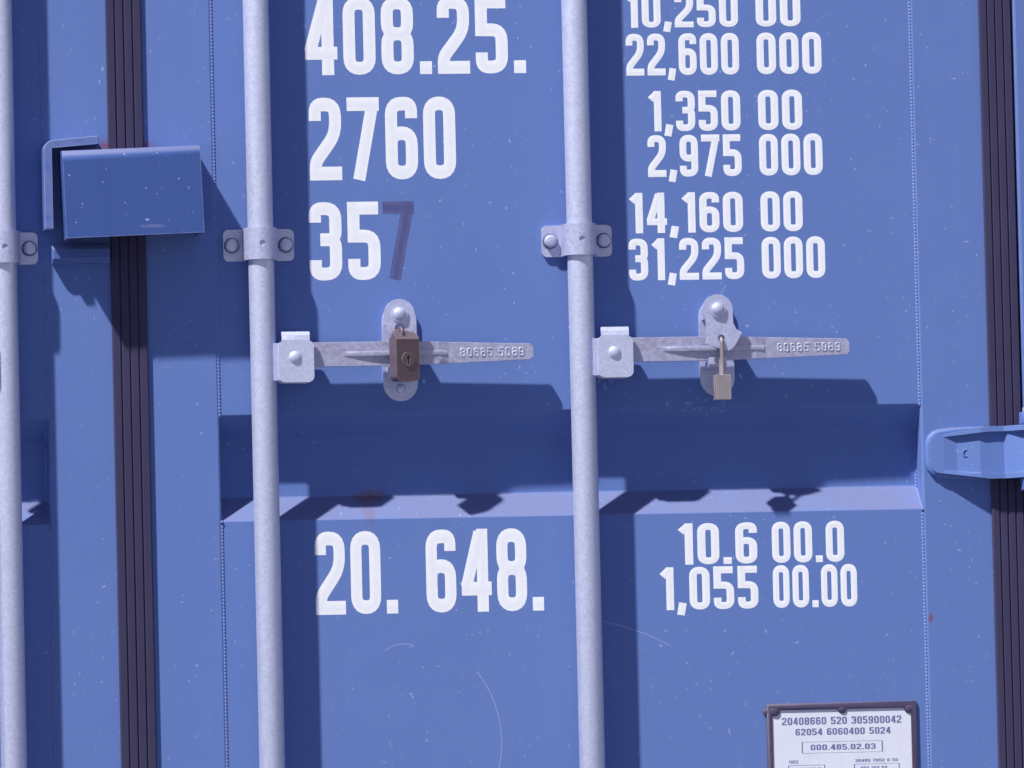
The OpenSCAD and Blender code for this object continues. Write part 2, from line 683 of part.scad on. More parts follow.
// The flap hangs on the boss in front of the handle; a long one ends like a fish tail
module flap(side, x, long = true) {
    top_r = 20;
    tail = [[-top_r, 0], [-16, -16], [-15, -36], [-17, -45], [-10, -48], [-3, -50], [6, -54], [14, -55],
        [21, -50], [26, -42], [32, -31], [24, -26], [19, -14], [top_r, 0]];
    strip = [[-top_r, 0], [-17, -22], [-12, -28], [12, -28], [17, -22], [top_r, 0]];
    hole = long ? [flap_hole_x, flap_hole_z] : [0, short_hole_z];
    at_pivot(side, x) color("silver") {
        difference() {
            upright(-flap_t / 2, flap_t / 2) union() {
                circle(top_r, $fn = round_fn);
                polygon(long ? tail : strip);
            }
            translate([hole[0], -flap_t / 2 - eps, hole[1]]) rotate([-90, 0, 0])
                cylinder(h = flap_t + 2 * eps, r = long ? 4.5 : 6.6, $fn = 24);
        }
        translate([0, -flap_t / 2 - 3, 0]) rotate([-90, 0, 0]) cylinder(h = 4, r = 10.5, $fn = round_fn);
        translate([0, -flap_t / 2 - 3, 0]) dome(9, 4);
    }
}

// Shackle of a padlock: legs apart by gap along Y, its bend centred on the origin
module shackle(gap, r, leg) {
    difference() {
        rotate([0, 90, 0]) rotate_extrude($fn = round_fn) translate([gap / 2, 0]) circle(r, $fn = 24);
        translate([-gap, -gap, -2 * gap]) cube([2 * gap, 2 * gap, 2 * gap]);
    }
    for (s = [-1, 1]) translate([0, s * gap / 2, -leg]) cylinder(h = leg, r = r, $fn = 24);
}

// Long thin shackle and a small body, hanging below the long flap
module small_padlock() {
    body = [20, 22, 33];
    body_top = 42.5;                           // from the bend down to the body
    at_pivot(1, outer_bar_x) color("darkgoldenrod") translate([flap_hole_x, 0, flap_hole_z - 6.6]) {
        shackle(12, 2.6, body_top + 2);
        translate([0, 0, -body_top - body[2]]) linear_extrude(body[2]) difference() {
            square([body[0], body[1]], center = true);
            for (x = [-1, 1]) translate([x * body[0] / 2, 0]) circle(2, $fn = 24);
        }
    }
}

// Heavy body with a sloping shoulder and a lock core. Its shoulders rise on both sides of the flap, and it
// hangs turned, in front of the handle.
module large_padlock() {
    gap = 17.5;                              // between the legs of the shackle
    body = [33, 23, 70];
    top = 7.5;                               // of the shoulders, above the bend of the shackle
    slope = 14;
    slot = 9;                                // round the flap
    slot_z = -3.5;
    turn = 16;
    core_z = -33;
    core_r = 9;
    at_pivot(1, inner_bar_x) color("saddlebrown") translate([0, -3.3, short_hole_z - 8]) {
        rotate(turn) shackle(gap, 2.2, 8);
        difference() {
            rotate(turn) translate([5, -1.8, 0]) union() {
                // the slope takes the front off the upper edge
                intersection() {
                    upright(-body[1] / 2, body[1] / 2) translate([-body[0] / 2, top - body[2]])
                        soft_square([body[0], body[2]], 8);
                    translate([-body[0], 0, 0]) rotate([90, 0, 90]) linear_extrude(2 * body[0])
                        polygon([[-body[1] / 2, top - body[2]], [-body[1] / 2, top - slope], [0, top],
                            [body[1] / 2, top], [body[1] / 2, top - body[2]]]);
                }
                translate([0, -body[1] / 2 - 2, core_z]) rotate([-90, 0, 0])
                    cylinder(h = 4, r = core_r, $fn = round_fn);
            }
            translate([-body[0], 3.3 - slot / 2, slot_z]) cube([2 * body[0], slot, 2 * top]);
            // keyhole
            rotate(turn) translate([5, -1.8, 0]) {
                translate([-1.5, -body[1] / 2 - 3, core_z - 7]) cube([3, 5, 9]);
                translate([0, -body[1] / 2 - 3, core_z + 2]) rotate([-90, 0, 0])
                    cylinder(h = 5, r = 3, $fn = 24);
            }
        }
    }
}

// Lock box: one plate bent over the top and down the front, with two side plates, open below
hood_z = mid_z - hood_drop;                  // underside of the hood
hood_x0 = -hood_w / 2 - 1;
module lock_hood() {
    bend = 14;
    foot_w = 36;                             // the part of the back that is welded to the right leaf
    y0 = face_y - hood_stand;
    z1 = hood_z + hood_h;
    // side profile of a box with its upper front edge bent round, smaller by cut all over
    module side_profile(cut) {
        r = bend - cut;
        union() {
            translate([y0 + cut, hood_z - eps]) square([hood_stand + 40, hood_h - bend + eps]);
            translate([y0 + bend, hood_z]) square([hood_stand + 40 - bend, hood_h - cut]);
            translate([y0 + bend, z1 - bend]) circle(r, $fn = round_fn);
        }
    }
    middle = [hood_x0 + hood_w / 2, 0, hood_z + hood_h / 2];
    to_frame() color("royalblue") translate(middle) rotate([0, -hood_lean, 0]) translate(-middle) difference() {
        intersection() {
            translate([hood_x0, 0, 0]) rotate([90, 0, 90]) linear_extrude(hood_w) side_profile(0);
            translate([hood_x0, y0, hood_z]) cube([hood_w, hood_stand, hood_h]);
        }
        translate([hood_x0 + hood_t, 0, 0]) rotate([90, 0, 90]) linear_extrude(hood_w - 2 * hood_t)
            side_profile(hood_t);
        // the rest of the back stays clear of the left leaf and of the seal
        translate([hood_x0 - eps, face_y - seal_proud - 5, hood_z - eps])
            cube([hood_w - foot_w, seal_proud + 6, hood_h + 2 * eps]);
    }
}

// Thick plate on the left leaf, bent round the end of the hood, and the stop bar below it
module lock_shroud() {
    t = 11;
    depth = 42;
    reach = 73;                              // over the top, from the outer corner
    r = 14;
    clear = 13;                              // between the hood and the plate
    x0 = hood_x0 - clear - t;
    z0 = hood_z + 11;
    z1 = hood_z + hood_h + 18;               // at the arm's free end
    arm_rise = 5;                            // along the arm
    corner_z = z1 - arm_rise;
    stop_w = 76;
    to_frame() color("royalblue") {
        upright(face_y - depth, face_y) difference() {
            union() {
                polygon([[x0, z0], [x0 + reach, z0], [x0 + reach, z1], [x0 + r, corner_z],
                    [x0, corner_z - r]]);
                translate([x0 + r, corner_z - r]) circle(r, $fn = round_fn);
            }
            polygon([[x0 + t, z0 - eps], [x0 + reach + eps, z0 - eps], [x0 + reach + eps, z1 - t],
                [x0 + t, corner_z - t]]);
        }
        translate([x0 + t, face_y - 20, hood_z - 32]) rotate([90, 0, 90]) linear_extrude(stop_w)
            polygon([[0, 6], [5, 0], [20, 0], [20, 24], [5, 24], [0, 18]]);
    }
}

// Data plate on its rubber bed, with four rivets
module data_plate() {
    x0 = leaf_x1 - stile_w - plate_inset - plate_w;
    to_frame() color("gainsboro") translate([x0, face_y + sheet_setback, leaf_z0 + plate_top - plate_h]) {
        upright(-2, 0) soft_square([plate_w, plate_h], 6);
        for (x = [9, plate_w - 9], z = [9, plate_h - 9])
            translate([x, -4, z]) rotate([-90, 0, 0]) cylinder(h = 3, r = 3, $fn = 24);
    }
}

corner_post(-1);  // left_corner_post
corner_post(1);  // right_corner_post
door_header();
door_sill();
casting(-1, true);  // top_left_casting
casting(1, true);  // top_right_casting
casting(-1, false);  // bottom_left_casting
casting(1, false);  // bottom_right_casting
hinge_lugs(-1);  // left_hinge_lugs
hinge_lugs(1);  // right_hinge_lugs
hinge_pins(-1);  // left_hinge_pins
hinge_pins(1);  // right_hinge_pins
keepers(cam_mid_high, 1);  // header_cam_keepers
keepers(cam_mid_low, -1);  // sill_cam_keepers
door_stiles(-1);  // left_door_stiles
door_rails(-1);  // left_door_rails
door_sheet(-1);  // left_door_sheet
door_seal(-1);  // left_door_seal
hinge_blades(-1);  // left_hinge_blades
bar_brackets(-1);  // left_bar_brackets
handle_catches(-1);  // left_handle_catches
lock_shroud();  // left_lock_shroud
door_stiles(1);  // right_door_stiles
door_rails(1);  // right_door_rails
door_sheet(1);  // right_door_sheet
door_seal(1);  // right_door_seal
hinge_blades(1);  // right_hinge_blades
bar_brackets(1);  // right_bar_brackets
handle_catches(1);  // right_handle_catches
lock_hood();  // right_lock_hood
data_plate();
locking_bar(-1, outer_bar_x);  // left_outer_bar
bar_cams(-1, outer_bar_x);  // left_outer_cams
handle(-1, outer_bar_x);  // left_outer_handle
flap(-1, outer_bar_x);  // left_outer_flap
locking_bar(-1, inner_bar_x);  // left_inner_bar
bar_cams(-1, inner_bar_x);  // left_inner_cams
handle(-1, inner_bar_x);  // left_inner_handle
flap(-1, inner_bar_x);  // left_inner_flap
locking_bar(1, inner_bar_x);  // right_inner_bar
bar_cams(1, inner_bar_x);  // right_inner_cams
handle(1, inner_bar_x);  // right_inner_handle
flap(1, inner_bar_x, false);  // right_inner_flap
locking_bar(1, outer_bar_x);  // right_outer_bar
bar_cams(1, outer_bar_x);  // right_outer_cams
handle(1, outer_bar_x);  // right_outer_handle
flap(1, outer_bar_x);  // right_outer_flap
large_padlock();
small_padlock();
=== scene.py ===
# %% [markdown]
# # The door end of a shipping container
# This lesson dresses a finished steel structure. Posts, leaves, locking bars and fittings come ready from
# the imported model, in metres, with +Z up and +Y in through the doorway. What is left is what a welder, a
# painter and ten years of weather add: beads of weld, bolts, rubber, paint, zinc, figures and scratches.

# %% Load the structure
import math
import bmesh
import bpy
from mathutils import Matrix, Vector


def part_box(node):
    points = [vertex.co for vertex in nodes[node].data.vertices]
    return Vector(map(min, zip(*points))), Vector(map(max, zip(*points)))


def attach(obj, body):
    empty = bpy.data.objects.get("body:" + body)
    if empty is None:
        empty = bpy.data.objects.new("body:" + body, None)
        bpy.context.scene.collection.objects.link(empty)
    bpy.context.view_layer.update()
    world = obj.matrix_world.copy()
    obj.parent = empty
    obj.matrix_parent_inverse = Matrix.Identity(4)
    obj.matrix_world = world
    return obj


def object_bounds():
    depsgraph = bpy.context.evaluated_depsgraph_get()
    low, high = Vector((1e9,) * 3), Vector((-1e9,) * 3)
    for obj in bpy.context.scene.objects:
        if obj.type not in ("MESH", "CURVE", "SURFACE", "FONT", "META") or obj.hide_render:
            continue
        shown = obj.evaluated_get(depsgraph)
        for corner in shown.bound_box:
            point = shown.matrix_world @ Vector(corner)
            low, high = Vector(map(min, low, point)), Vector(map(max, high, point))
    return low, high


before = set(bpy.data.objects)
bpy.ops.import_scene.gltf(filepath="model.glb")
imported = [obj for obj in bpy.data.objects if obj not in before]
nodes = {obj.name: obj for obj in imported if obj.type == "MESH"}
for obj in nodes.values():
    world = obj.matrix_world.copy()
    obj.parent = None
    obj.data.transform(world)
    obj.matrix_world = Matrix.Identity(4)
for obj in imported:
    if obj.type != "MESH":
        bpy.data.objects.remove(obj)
cad_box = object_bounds()
MM = 0.001
print(len(nodes), "nodes, box", [tuple(round(c, 3) for c in corner) for corner in cad_box])

# %% [markdown]
# ## Planes and axes to work from
# Every fitting sits on a plane or an axis of the structure, so these are read from the model's own boxes.
# A piece that is placed from them follows the steelwork when a size of the container changes.

# %% Planes and axes
stile_low, stile_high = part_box("right_door_stiles")
FACE = stile_low.y                            # outer face of the uprights
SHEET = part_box("right_door_sheet")[0].y       # outer face of the door sheet
LEAF_BOTTOM, LEAF_TOP = stile_low.z, stile_high.z
LEAF_NEAR, LEAF_FAR = stile_low.x, stile_high.x
GROUND = cad_box[0].z
LEAF_MIDDLE = (LEAF_BOTTOM + LEAF_TOP) / 2
BAR_RADIUS = 17 * MM
SIDES = {"left": -1, "right": 1}
BAR_X = {}
for side, sign in SIDES.items():
    for place in ("outer", "inner"):
        low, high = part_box(f"{side}_{place}_bar")
        BAR_X[side, place] = low.x + BAR_RADIUS if sign > 0 else high.x - BAR_RADIUS
print("face", round(FACE, 4), "bars at", {"_".join(k): round(v, 4) for k, v in BAR_X.items()})

# %% [markdown]
# ## The camera first
# The photograph was taken from a little below the locks and to their left, through a long lens, so that
# the uprights lean a little and hardly converge. The lens, the place and the three angles below were
# worked out from straight edges whose real places are known: the welds beside the sheet, the two locking
# bars and the edges of the pressed recess.

# %% Camera
LENS_MM = 281.25
CAMERA_AT = Vector((-1.021, -10.631, 0.399))
YAW, PITCH, ROLL = (math.radians(a) for a in (8.265, 2.929, -1.352))

ahead = Vector((math.sin(YAW) * math.cos(PITCH), math.cos(YAW) * math.cos(PITCH), math.sin(PITCH)))
level_right = Vector((math.cos(YAW), -math.sin(YAW), 0))
level_up = level_right.cross(ahead)
right = level_right * math.cos(ROLL) + level_up * math.sin(ROLL)
up = level_up * math.cos(ROLL) - level_right * math.sin(ROLL)
camera_data = bpy.data.cameras.new("camera")
camera_data.lens = LENS_MM
camera_data.sensor_width = 36
camera_data.clip_end = 200
camera = bpy.data.objects.new("camera", camera_data)
bpy.context.collection.objects.link(camera)
turn = Matrix((right, up, -ahead)).transposed().to_4x4()
camera.matrix_world = Matrix.Translation(CAMERA_AT) @ turn
bpy.context.scene.camera = camera
print("camera", [round(c, 3) for c in CAMERA_AT])

# %% [markdown]
# ## Small helpers for modelling
# An operator acts on all that is selected, so each piece starts with nothing selected. A finished piece
# has its place in its mesh and its object at the origin, as the nodes of the structure have.

# %% Helpers for objects
def deselect_all():
    if bpy.context.object and bpy.context.object.mode != "OBJECT":
        bpy.ops.object.mode_set(mode="OBJECT")
    bpy.ops.object.select_all(action="DESELECT")


def select_only(piece):
    deselect_all()
    piece.select_set(True)
    bpy.context.view_layer.objects.active = piece


def settle(piece):
    """Puts the place, turn and size of an object into its mesh."""
    select_only(piece)
    bpy.ops.object.transform_apply(location=True, rotation=True, scale=True)
    return piece


def copy_at(piece, offset, size=1.0):
    """A copy with its own mesh, at another size and place."""
    twin = piece.copy()
    twin.data = piece.data.copy()
    bpy.context.collection.objects.link(twin)
    twin.data.transform(Matrix.Translation(offset) @ Matrix.Scale(size, 4))
    return twin


def join(pieces, name):
    deselect_all()
    for piece in pieces:
        piece.select_set(True)
    bpy.context.view_layer.objects.active = pieces[0]
    if len(pieces) > 1:
        bpy.ops.object.join()
    whole = bpy.context.object
    whole.name = name
    return whole


def remove(piece):
    bpy.data.objects.remove(piece)


def apply_modifier(piece, kind, **settings):
    select_only(piece)
    modifier = piece.modifiers.new(kind.lower(), kind)
    for key, value in settings.items():
        setattr(modifier, key, value)
    bpy.ops.object.modifier_apply(modifier=modifier.name)
    return piece


def smooth(piece, angle):
    """Shades a piece smooth across edges that turn by less than an angle."""
    select_only(piece)
    bpy.ops.object.shade_smooth_by_angle(angle=math.radians(angle))
    return piece


def dress(piece, finish):
    """Gives a piece one finish and no other."""
    piece.data.materials.clear()
    piece.data.materials.append(finish)

# %% Helpers for edit mode
def select_faces(piece, test):
    """Opens edit mode with just the faces chosen that pass the test."""
    select_only(piece)
    bpy.ops.object.mode_set(mode="EDIT")
    bpy.ops.mesh.select_mode(type="FACE")
    bpy.ops.mesh.select_all(action="DESELECT")
    mesh = bmesh.from_edit_mesh(piece.data)
    for face in mesh.faces:
        face.select_set(bool(test(face.calc_center_median(), face.normal)))
    bmesh.update_edit_mesh(piece.data)


def leave_edit():
    bpy.ops.object.mode_set(mode="OBJECT")

# %% Helpers for thin lines
def turned(points, closed, radius, steps=5):
    """The points of a line whose corners are replaced by short arcs."""
    count = len(points)
    bent = []
    for i, corner in enumerate(points):
        if not closed and i in (0, count - 1):
            bent.append(corner)
            continue
        before, after = points[i - 1], points[(i + 1) % count]
        reach = min(radius, (before - corner).length / 2, (after - corner).length / 2)
        start = corner + (before - corner).normalized() * reach
        end = corner + (after - corner).normalized() * reach
        for k in range(steps + 1):
            u = k / steps
            bent.append(start * (1 - u) ** 2 + corner * 2 * u * (1 - u) + end * u ** 2)
    return bent


def as_mesh(curve):
    """A mesh piece made from a curve, with the curve's name."""
    drawn = bpy.data.objects.new(curve.name, curve)
    bpy.context.collection.objects.link(drawn)
    select_only(drawn)
    bpy.ops.object.convert(target="MESH")
    return bpy.context.object


def strips(lines, width, name):
    """Flat strips along lines in X and Y, as one mesh; a line is its points and whether it closes."""
    curve = bpy.data.curves.new(name, "CURVE")
    curve.dimensions = "3D"
    curve.bevel_depth = width / 2
    curve.bevel_resolution = 0
    curve.use_fill_caps = True
    for i, (points, closed) in enumerate(lines):
        level = (i % 3) * width / 8           # so that strips that cross don't share a surface
        spline = curve.splines.new("POLY")
        spline.points.add(len(points) - 1)
        for place, point in zip(spline.points, points):
            place.co = (point.x, point.y, level, 1)
        spline.use_cyclic_u = closed
    flat = as_mesh(curve)
    bpy.ops.object.shade_flat()
    return flat

# %% [markdown]
# ## Shader groups that more than one finish shares
# Paint, zinc and rubber all show broad fading, streaks that run down, fine grain, and edges made paler by
# wear and by a painted highlight. Each effect is a group built once, with named inputs, that gives out a
# mask between 0 and 1 or a colour. Patterns read Object coordinates, so they stay put on the steel.

# %% A small builder for node trees
class Tree:
    """Adds nodes and links to a node tree with few words."""

    def __init__(self, tree):
        self.tree = tree

    def add(self, kind, inputs=None, **settings):
        node = self.tree.nodes.new(kind)
        for key, value in settings.items():
            setattr(node, key, value)
        for key, value in (inputs or {}).items():
            self.feed(value, node.inputs[key])
        return node

    def feed(self, value, socket):
        if isinstance(value, bpy.types.NodeSocket):
            self.tree.links.new(value, socket)
        else:
            socket.default_value = value

    def math(self, operation, a, b=0.0, clamp=False):
        return self.add("ShaderNodeMath", {0: a, 1: b}, operation=operation, use_clamp=clamp).outputs[0]

    def ramp(self, value, low, high, out_low=0.0, out_high=1.0):
        """Goes from out_low to out_high as the value goes from low to high, and no further."""
        node = self.add("ShaderNodeMapRange", {"Value": value, "From Min": low, "From Max": high,
                                               "To Min": out_low, "To Max": out_high})
        return node.outputs["Result"]

    def mix(self, amount, a, b):
        """Colour a where the amount is 0 and colour b where it is 1."""
        node = self.add("ShaderNodeMix", data_type="RGBA")
        self.feed(amount, node.inputs[0])
        self.feed(a, node.inputs[6])
        self.feed(b, node.inputs[7])
        return node.outputs[2]

    def place(self, scale=(1, 1, 1), offset=(0, 0, 0)):
        """Object coordinates, stretched and shifted."""
        coordinates = self.add("ShaderNodeTexCoord").outputs["Object"]
        mapping = self.add("ShaderNodeMapping", {"Vector": coordinates, "Scale": scale, "Location": offset})
        return mapping.outputs["Vector"]

    def noise(self, vector, scale, detail=3.0, rough=0.55):
        node = self.add("ShaderNodeTexNoise", {"Vector": vector, "Scale": scale, "Detail": detail,
                                               "Roughness": rough})
        return node.outputs["Fac"]


def new_group(name, inputs, outputs):
    group = bpy.data.node_groups.new(name, "ShaderNodeTree")
    for label, (kind, value) in inputs.items():
        socket = group.interface.new_socket(label, in_out="INPUT", socket_type=kind)
        socket.default_value = value
    for label, kind in outputs.items():
        group.interface.new_socket(label, in_out="OUTPUT", socket_type=kind)
    tree = Tree(group)
    source = tree.add("NodeGroupInput").outputs
    result = tree.add("NodeGroupOutput").inputs
    return group, tree, source, result


NUMBER, PLACE = "NodeSocketFloat", "NodeSocketVector"

# %% Fading, streaks, scratches, edges paled by wear and a painted highlight, and stains
def make_fading():
    group, t, source, result = new_group("fading", {"Size": (NUMBER, 2.0), "Contrast": (NUMBER, 1.0)},
                                         {"Mask": NUMBER})
    broad = t.noise(t.place(), source["Size"], 4.0, 0.6)
    fine = t.noise(t.place(offset=(3, 1, 7)), t.math("MULTIPLY", source["Size"], 7.0), 3.0, 0.6)
    both = t.math("ADD", t.math("MULTIPLY", broad, 0.7), t.math("MULTIPLY", fine, 0.3))
    centred = t.math("MULTIPLY", t.math("SUBTRACT", both, 0.5), source["Contrast"])
    t.feed(t.math("ADD", centred, 0.5, clamp=True), result["Mask"])
    return group


def make_streaks():
    group, t, source, result = new_group("streaks", {"Width": (NUMBER, 40.0), "Amount": (NUMBER, 0.5)},
                                         {"Mask": NUMBER})
    down = t.noise(t.place(scale=(1, 1, 0.05)), source["Width"], 3.0, 0.6)
    patches = t.ramp(t.noise(t.place(offset=(5, 2, 1)), 2.3, 2.0), 0.42, 0.68)
    thin = t.ramp(down, 0.52, 0.78)
    both = t.math("MULTIPLY", thin, patches)
    t.feed(t.math("MULTIPLY", both, source["Amount"], clamp=True), result["Mask"])
    return group


def make_scratches():
    group, t, source, result = new_group("scratches", {"Size": (NUMBER, 5.0), "Amount": (NUMBER, 0.5)},
                                         {"Mask": NUMBER})
    bent = t.place(scale=(1.0, 1.0, 0.45), offset=(0.3, 0.2, 0.6))
    wobble = t.add("ShaderNodeTexNoise", {"Vector": bent, "Scale": 3.0, "Detail": 1.0}).outputs["Color"]
    moved = t.add("ShaderNodeMix", {0: 0.22, 4: bent, 5: wobble}, data_type="VECTOR").outputs[1]
    cells = t.add("ShaderNodeTexVoronoi", {"Vector": moved, "Scale": source["Size"]},
                  feature="DISTANCE_TO_EDGE").outputs["Distance"]
    line = t.ramp(cells, 0.0, 0.008, 1.0, 0.0)
    some = t.ramp(t.noise(t.place(offset=(9, 4, 2)), 4.0, 3.0), 0.58, 0.66)
    both = t.math("MULTIPLY", line, some)
    t.feed(t.math("MULTIPLY", both, source["Amount"], clamp=True), result["Mask"])
    return group


# Pales the edges: partly wear, partly a painted highlight.
def make_edge_wear_and_highlight():
    group, t, source, result = new_group("edge_wear_and_highlight", {"Reach": (NUMBER, 0.003), "Amount": (NUMBER, 1.0)},
                                         {"Mask": NUMBER})
    rounded = t.add("ShaderNodeBevel", {"Radius": source["Reach"]}, samples=4).outputs["Normal"]
    plain = t.add("ShaderNodeNewGeometry").outputs["Normal"]
    same = t.add("ShaderNodeVectorMath", {0: rounded, 1: plain}, operation="DOT_PRODUCT").outputs["Value"]
    edge = t.ramp(same, 0.985, 0.90)
    broken = t.ramp(t.noise(t.place(), 60.0, 3.0), 0.35, 0.6, 0.25, 1.0)
    both = t.math("MULTIPLY", edge, broken)
    t.feed(t.math("MULTIPLY", both, source["Amount"], clamp=True), result["Mask"])
    return group


def away_from(t, source):
    """How far a point lies from Centre, counted in Reaches."""
    here = t.add("ShaderNodeVectorMath", {0: t.place(), 1: source["Centre"]}, operation="SUBTRACT")
    shrunk = t.add("ShaderNodeVectorMath", {0: here.outputs[0], 1: source["Reach"]}, operation="DIVIDE")
    return t.add("ShaderNodeVectorMath", {0: shrunk.outputs[0]}, operation="LENGTH").outputs["Value"]


def make_stain():
    """A soft round mask with a torn edge, centred on a place and as large as Reach says."""
    group, t, source, result = new_group(
        "stain", {"Centre": (PLACE, (0, 0, 0)), "Reach": (PLACE, (0.05, 0.05, 0.05)),
                  "Torn": (NUMBER, 40.0)}, {"Mask": NUMBER})
    torn = t.noise(t.place(), source["Torn"], 4.0, 0.65)
    edge = t.math("ADD", away_from(t, source), t.math("MULTIPLY", t.math("SUBTRACT", torn, 0.5), 1.5))
    t.feed(t.ramp(edge, 1.0, 0.35), result["Mask"])
    return group


def make_chips():
    """Small flakes gathered round a place."""
    group, t, source, result = new_group(
        "chips", {"Centre": (PLACE, (0, 0, 0)), "Reach": (PLACE, (0.05, 0.05, 0.05)),
                  "Size": (NUMBER, 120.0)}, {"Mask": NUMBER})
    flakes = t.noise(t.place(), source["Size"], 2.0, 0.5)
    near = t.ramp(away_from(t, source), 1.0, 0.0, 0.0, 0.16)
    t.feed(t.ramp(t.math("ADD", flakes, near), 0.73, 0.75), result["Mask"])
    return group


GROUPS = {"fading": make_fading(), "streaks": make_streaks(), "scratches": make_scratches(),
          "edge_wear_and_highlight": make_edge_wear_and_highlight(), "stain": make_stain(), "chips": make_chips()}
print("shader groups:", ", ".join(GROUPS))

# %% Starting a finish
def srgb(red, green, blue):
    """The linear colour of a red, green and blue between 0 and 255."""
    def channel(value):
        value /= 255
        return value / 12.92 if value <= 0.04045 else ((value + 0.055) / 1.055) ** 2.4
    return (channel(red), channel(green), channel(blue), 1.0)


def new_finish(name, roughness, metallic=0.0, gloss=0.5):
    material = bpy.data.materials.new(name)
    material.use_nodes = True
    material.node_tree.nodes.clear()
    tree = Tree(material.node_tree)
    shader = tree.add("ShaderNodeBsdfPrincipled", {"Roughness": roughness, "Metallic": metallic,
                                                   "Specular IOR Level": gloss})
    output = tree.add("ShaderNodeOutputMaterial")
    tree.feed(shader.outputs[0], output.inputs["Surface"])
    return material, tree, shader


def use(tree, name, **inputs):
    """Places a group in a node tree with its own values, and gives its mask."""
    return tree.add("ShaderNodeGroup", inputs, node_tree=GROUPS[name]).outputs["Mask"]


def grain(tree, shader, height, strength, distance):
    bump = tree.add("ShaderNodeBump", {"Height": height, "Strength": strength, "Distance": distance})
    tree.feed(bump.outputs["Normal"], shader.inputs["Normal"])

# %% [markdown]
# ## Blue paint
# Container paint is thick and semi-matt. Sun and salt turn it chalky in broad patches, rain draws faint
# streaks, and whatever brushes past leaves thin pale scratches. The doors, the frame, the castings and the
# lock box are the same paint at different ages, so one function makes them all, each in its own colours.

# %% Blue paint
PALE_BLUE = srgb(150, 164, 212)
# pale colour for bare paint, and for the painted highlight along edges
BARE_AND_HIGHLIGHT = srgb(158, 162, 200)
RUST = srgb(124, 84, 88)
BRICK = srgb(138, 70, 86)
DUST = srgb(112, 120, 162)


# wear sets how much the edges are paled, by wear and a painted highlight
def blue_paint(name, paint, chalk, grime, wear, stains=(), flakes=(), worn_front=None):
    """Chalky paint, its edges paler from wear and a painted highlight; worn_front is the depth of a face
    that has lost some of it.
    """
    material, t, shader = new_finish(name, 0.5, gloss=0.2)
    faded = use(t, "fading", Size=1.7, Contrast=1.7)
    colour = t.mix(t.math("MULTIPLY", faded, 0.6), paint, chalk)
    colour = t.mix(use(t, "streaks", Width=42.0, Amount=0.30), colour, chalk)
    colour = t.mix(use(t, "streaks", Width=23.0, Amount=0.26), colour, grime)
    speckle = t.ramp(t.noise(t.place(), 330.0, 2.0), 0.72, 0.77)
    colour = t.mix(t.math("MULTIPLY", speckle, 0.25), colour, PALE_BLUE)
    colour = t.mix(use(t, "scratches", Size=4.0, Amount=0.35), colour, PALE_BLUE)
    # edges paler: wear and a painted highlight
    colour = t.mix(use(t, "edge_wear_and_highlight", Reach=0.0022, Amount=wear), colour, BARE_AND_HIGHLIGHT)
    normal = t.add("ShaderNodeNewGeometry").outputs["Normal"]
    upward = t.add("ShaderNodeSeparateXYZ", {0: normal}).outputs["Z"]
    settled = t.ramp(t.noise(t.place(), 14.0, 4.0), 0.25, 0.55, 0.55, 0.95)
    colour = t.mix(t.math("MULTIPLY", t.ramp(upward, 0.35, 0.65), settled), colour, DUST)
    if worn_front is not None:
        depth = t.add("ShaderNodeSeparateXYZ", {0: t.place()}).outputs["Y"]
        front = t.ramp(depth, worn_front + 1.6 * MM, worn_front + 0.6 * MM)
        patchy = t.ramp(t.noise(t.place(), 70.0, 4.0, 0.6), 0.30, 0.55, 0.0, 0.22)
        colour = t.mix(t.math("MULTIPLY", front, patchy), colour, BARE_AND_HIGHLIGHT)
    for centre, reach, torn, stain_colour, strength in stains:
        mask = use(t, "stain", Centre=centre, Reach=reach, Torn=torn)
        colour = t.mix(t.math("MULTIPLY", mask, strength), colour, stain_colour)
    for centre, reach, size in flakes:
        colour = t.mix(use(t, "chips", Centre=centre, Reach=reach, Size=size), colour, PALE_BLUE)
    t.feed(colour, shader.inputs["Base Color"])
    t.feed(t.ramp(faded, 0.2, 0.8, 0.44, 0.6), shader.inputs["Roughness"])
    peel = t.math("ADD", t.math("MULTIPLY", t.noise(t.place(), 420.0, 2.0), 0.35),
                  t.math("MULTIPLY", t.noise(t.place(), 34.0, 3.0), 0.65))
    grain(t, shader, peel, 0.25, 0.0006)
    return material


# each stain: its middle, its reach, how finely its edge is torn, its colour and its strength;
# each patch of flakes: its middle, its reach and how fine they are
DOOR_STAINS = [
    ((0.316, SHEET, 0.797), (0.026, 0.10, 0.011), 60.0, RUST, 0.8),
    ((0.311, SHEET, 0.777), (0.011, 0.10, 0.026), 60.0, RUST, 0.3),
    ((1.063, SHEET, 0.620), (0.004, 0.02, 0.008), 90.0, BRICK, 0.8),
    ((-0.006, FACE, 1.266), (0.050, 0.10, 0.010), 110.0, BRICK, 0.8),
]
DOOR_FLAKES = [((0.625, SHEET, 0.945), (0.055, 0.03, 0.030), 150.0),
               ((0.760, SHEET, 0.905), (0.080, 0.03, 0.020), 170.0)]
BOX_FRONT = FACE - 66 * MM                    # front of the lock box
LOCK_STAINS = [((-0.006, FACE - 0.03, 1.262), (0.045, 0.06, 0.006), 120.0, BRICK, 0.6),
               ((0.024, BOX_FRONT, 1.154), (0.020, 0.02, 0.003), 160.0, BARE_AND_HIGHLIGHT, 0.3)]
LOCK_FLAKES = [((0.020, BOX_FRONT, 1.161), (0.012, 0.02, 0.006), 230.0)]
SHROUD_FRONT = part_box("left_lock_shroud")[0].y
door_paint = blue_paint("door_paint", srgb(97, 123, 187), srgb(111, 136, 197), srgb(82, 104, 167), 0.5,
                        DOOR_STAINS, DOOR_FLAKES)
frame_paint = blue_paint("frame_paint", srgb(94, 118, 182), srgb(110, 132, 192), srgb(72, 92, 150), 0.6)
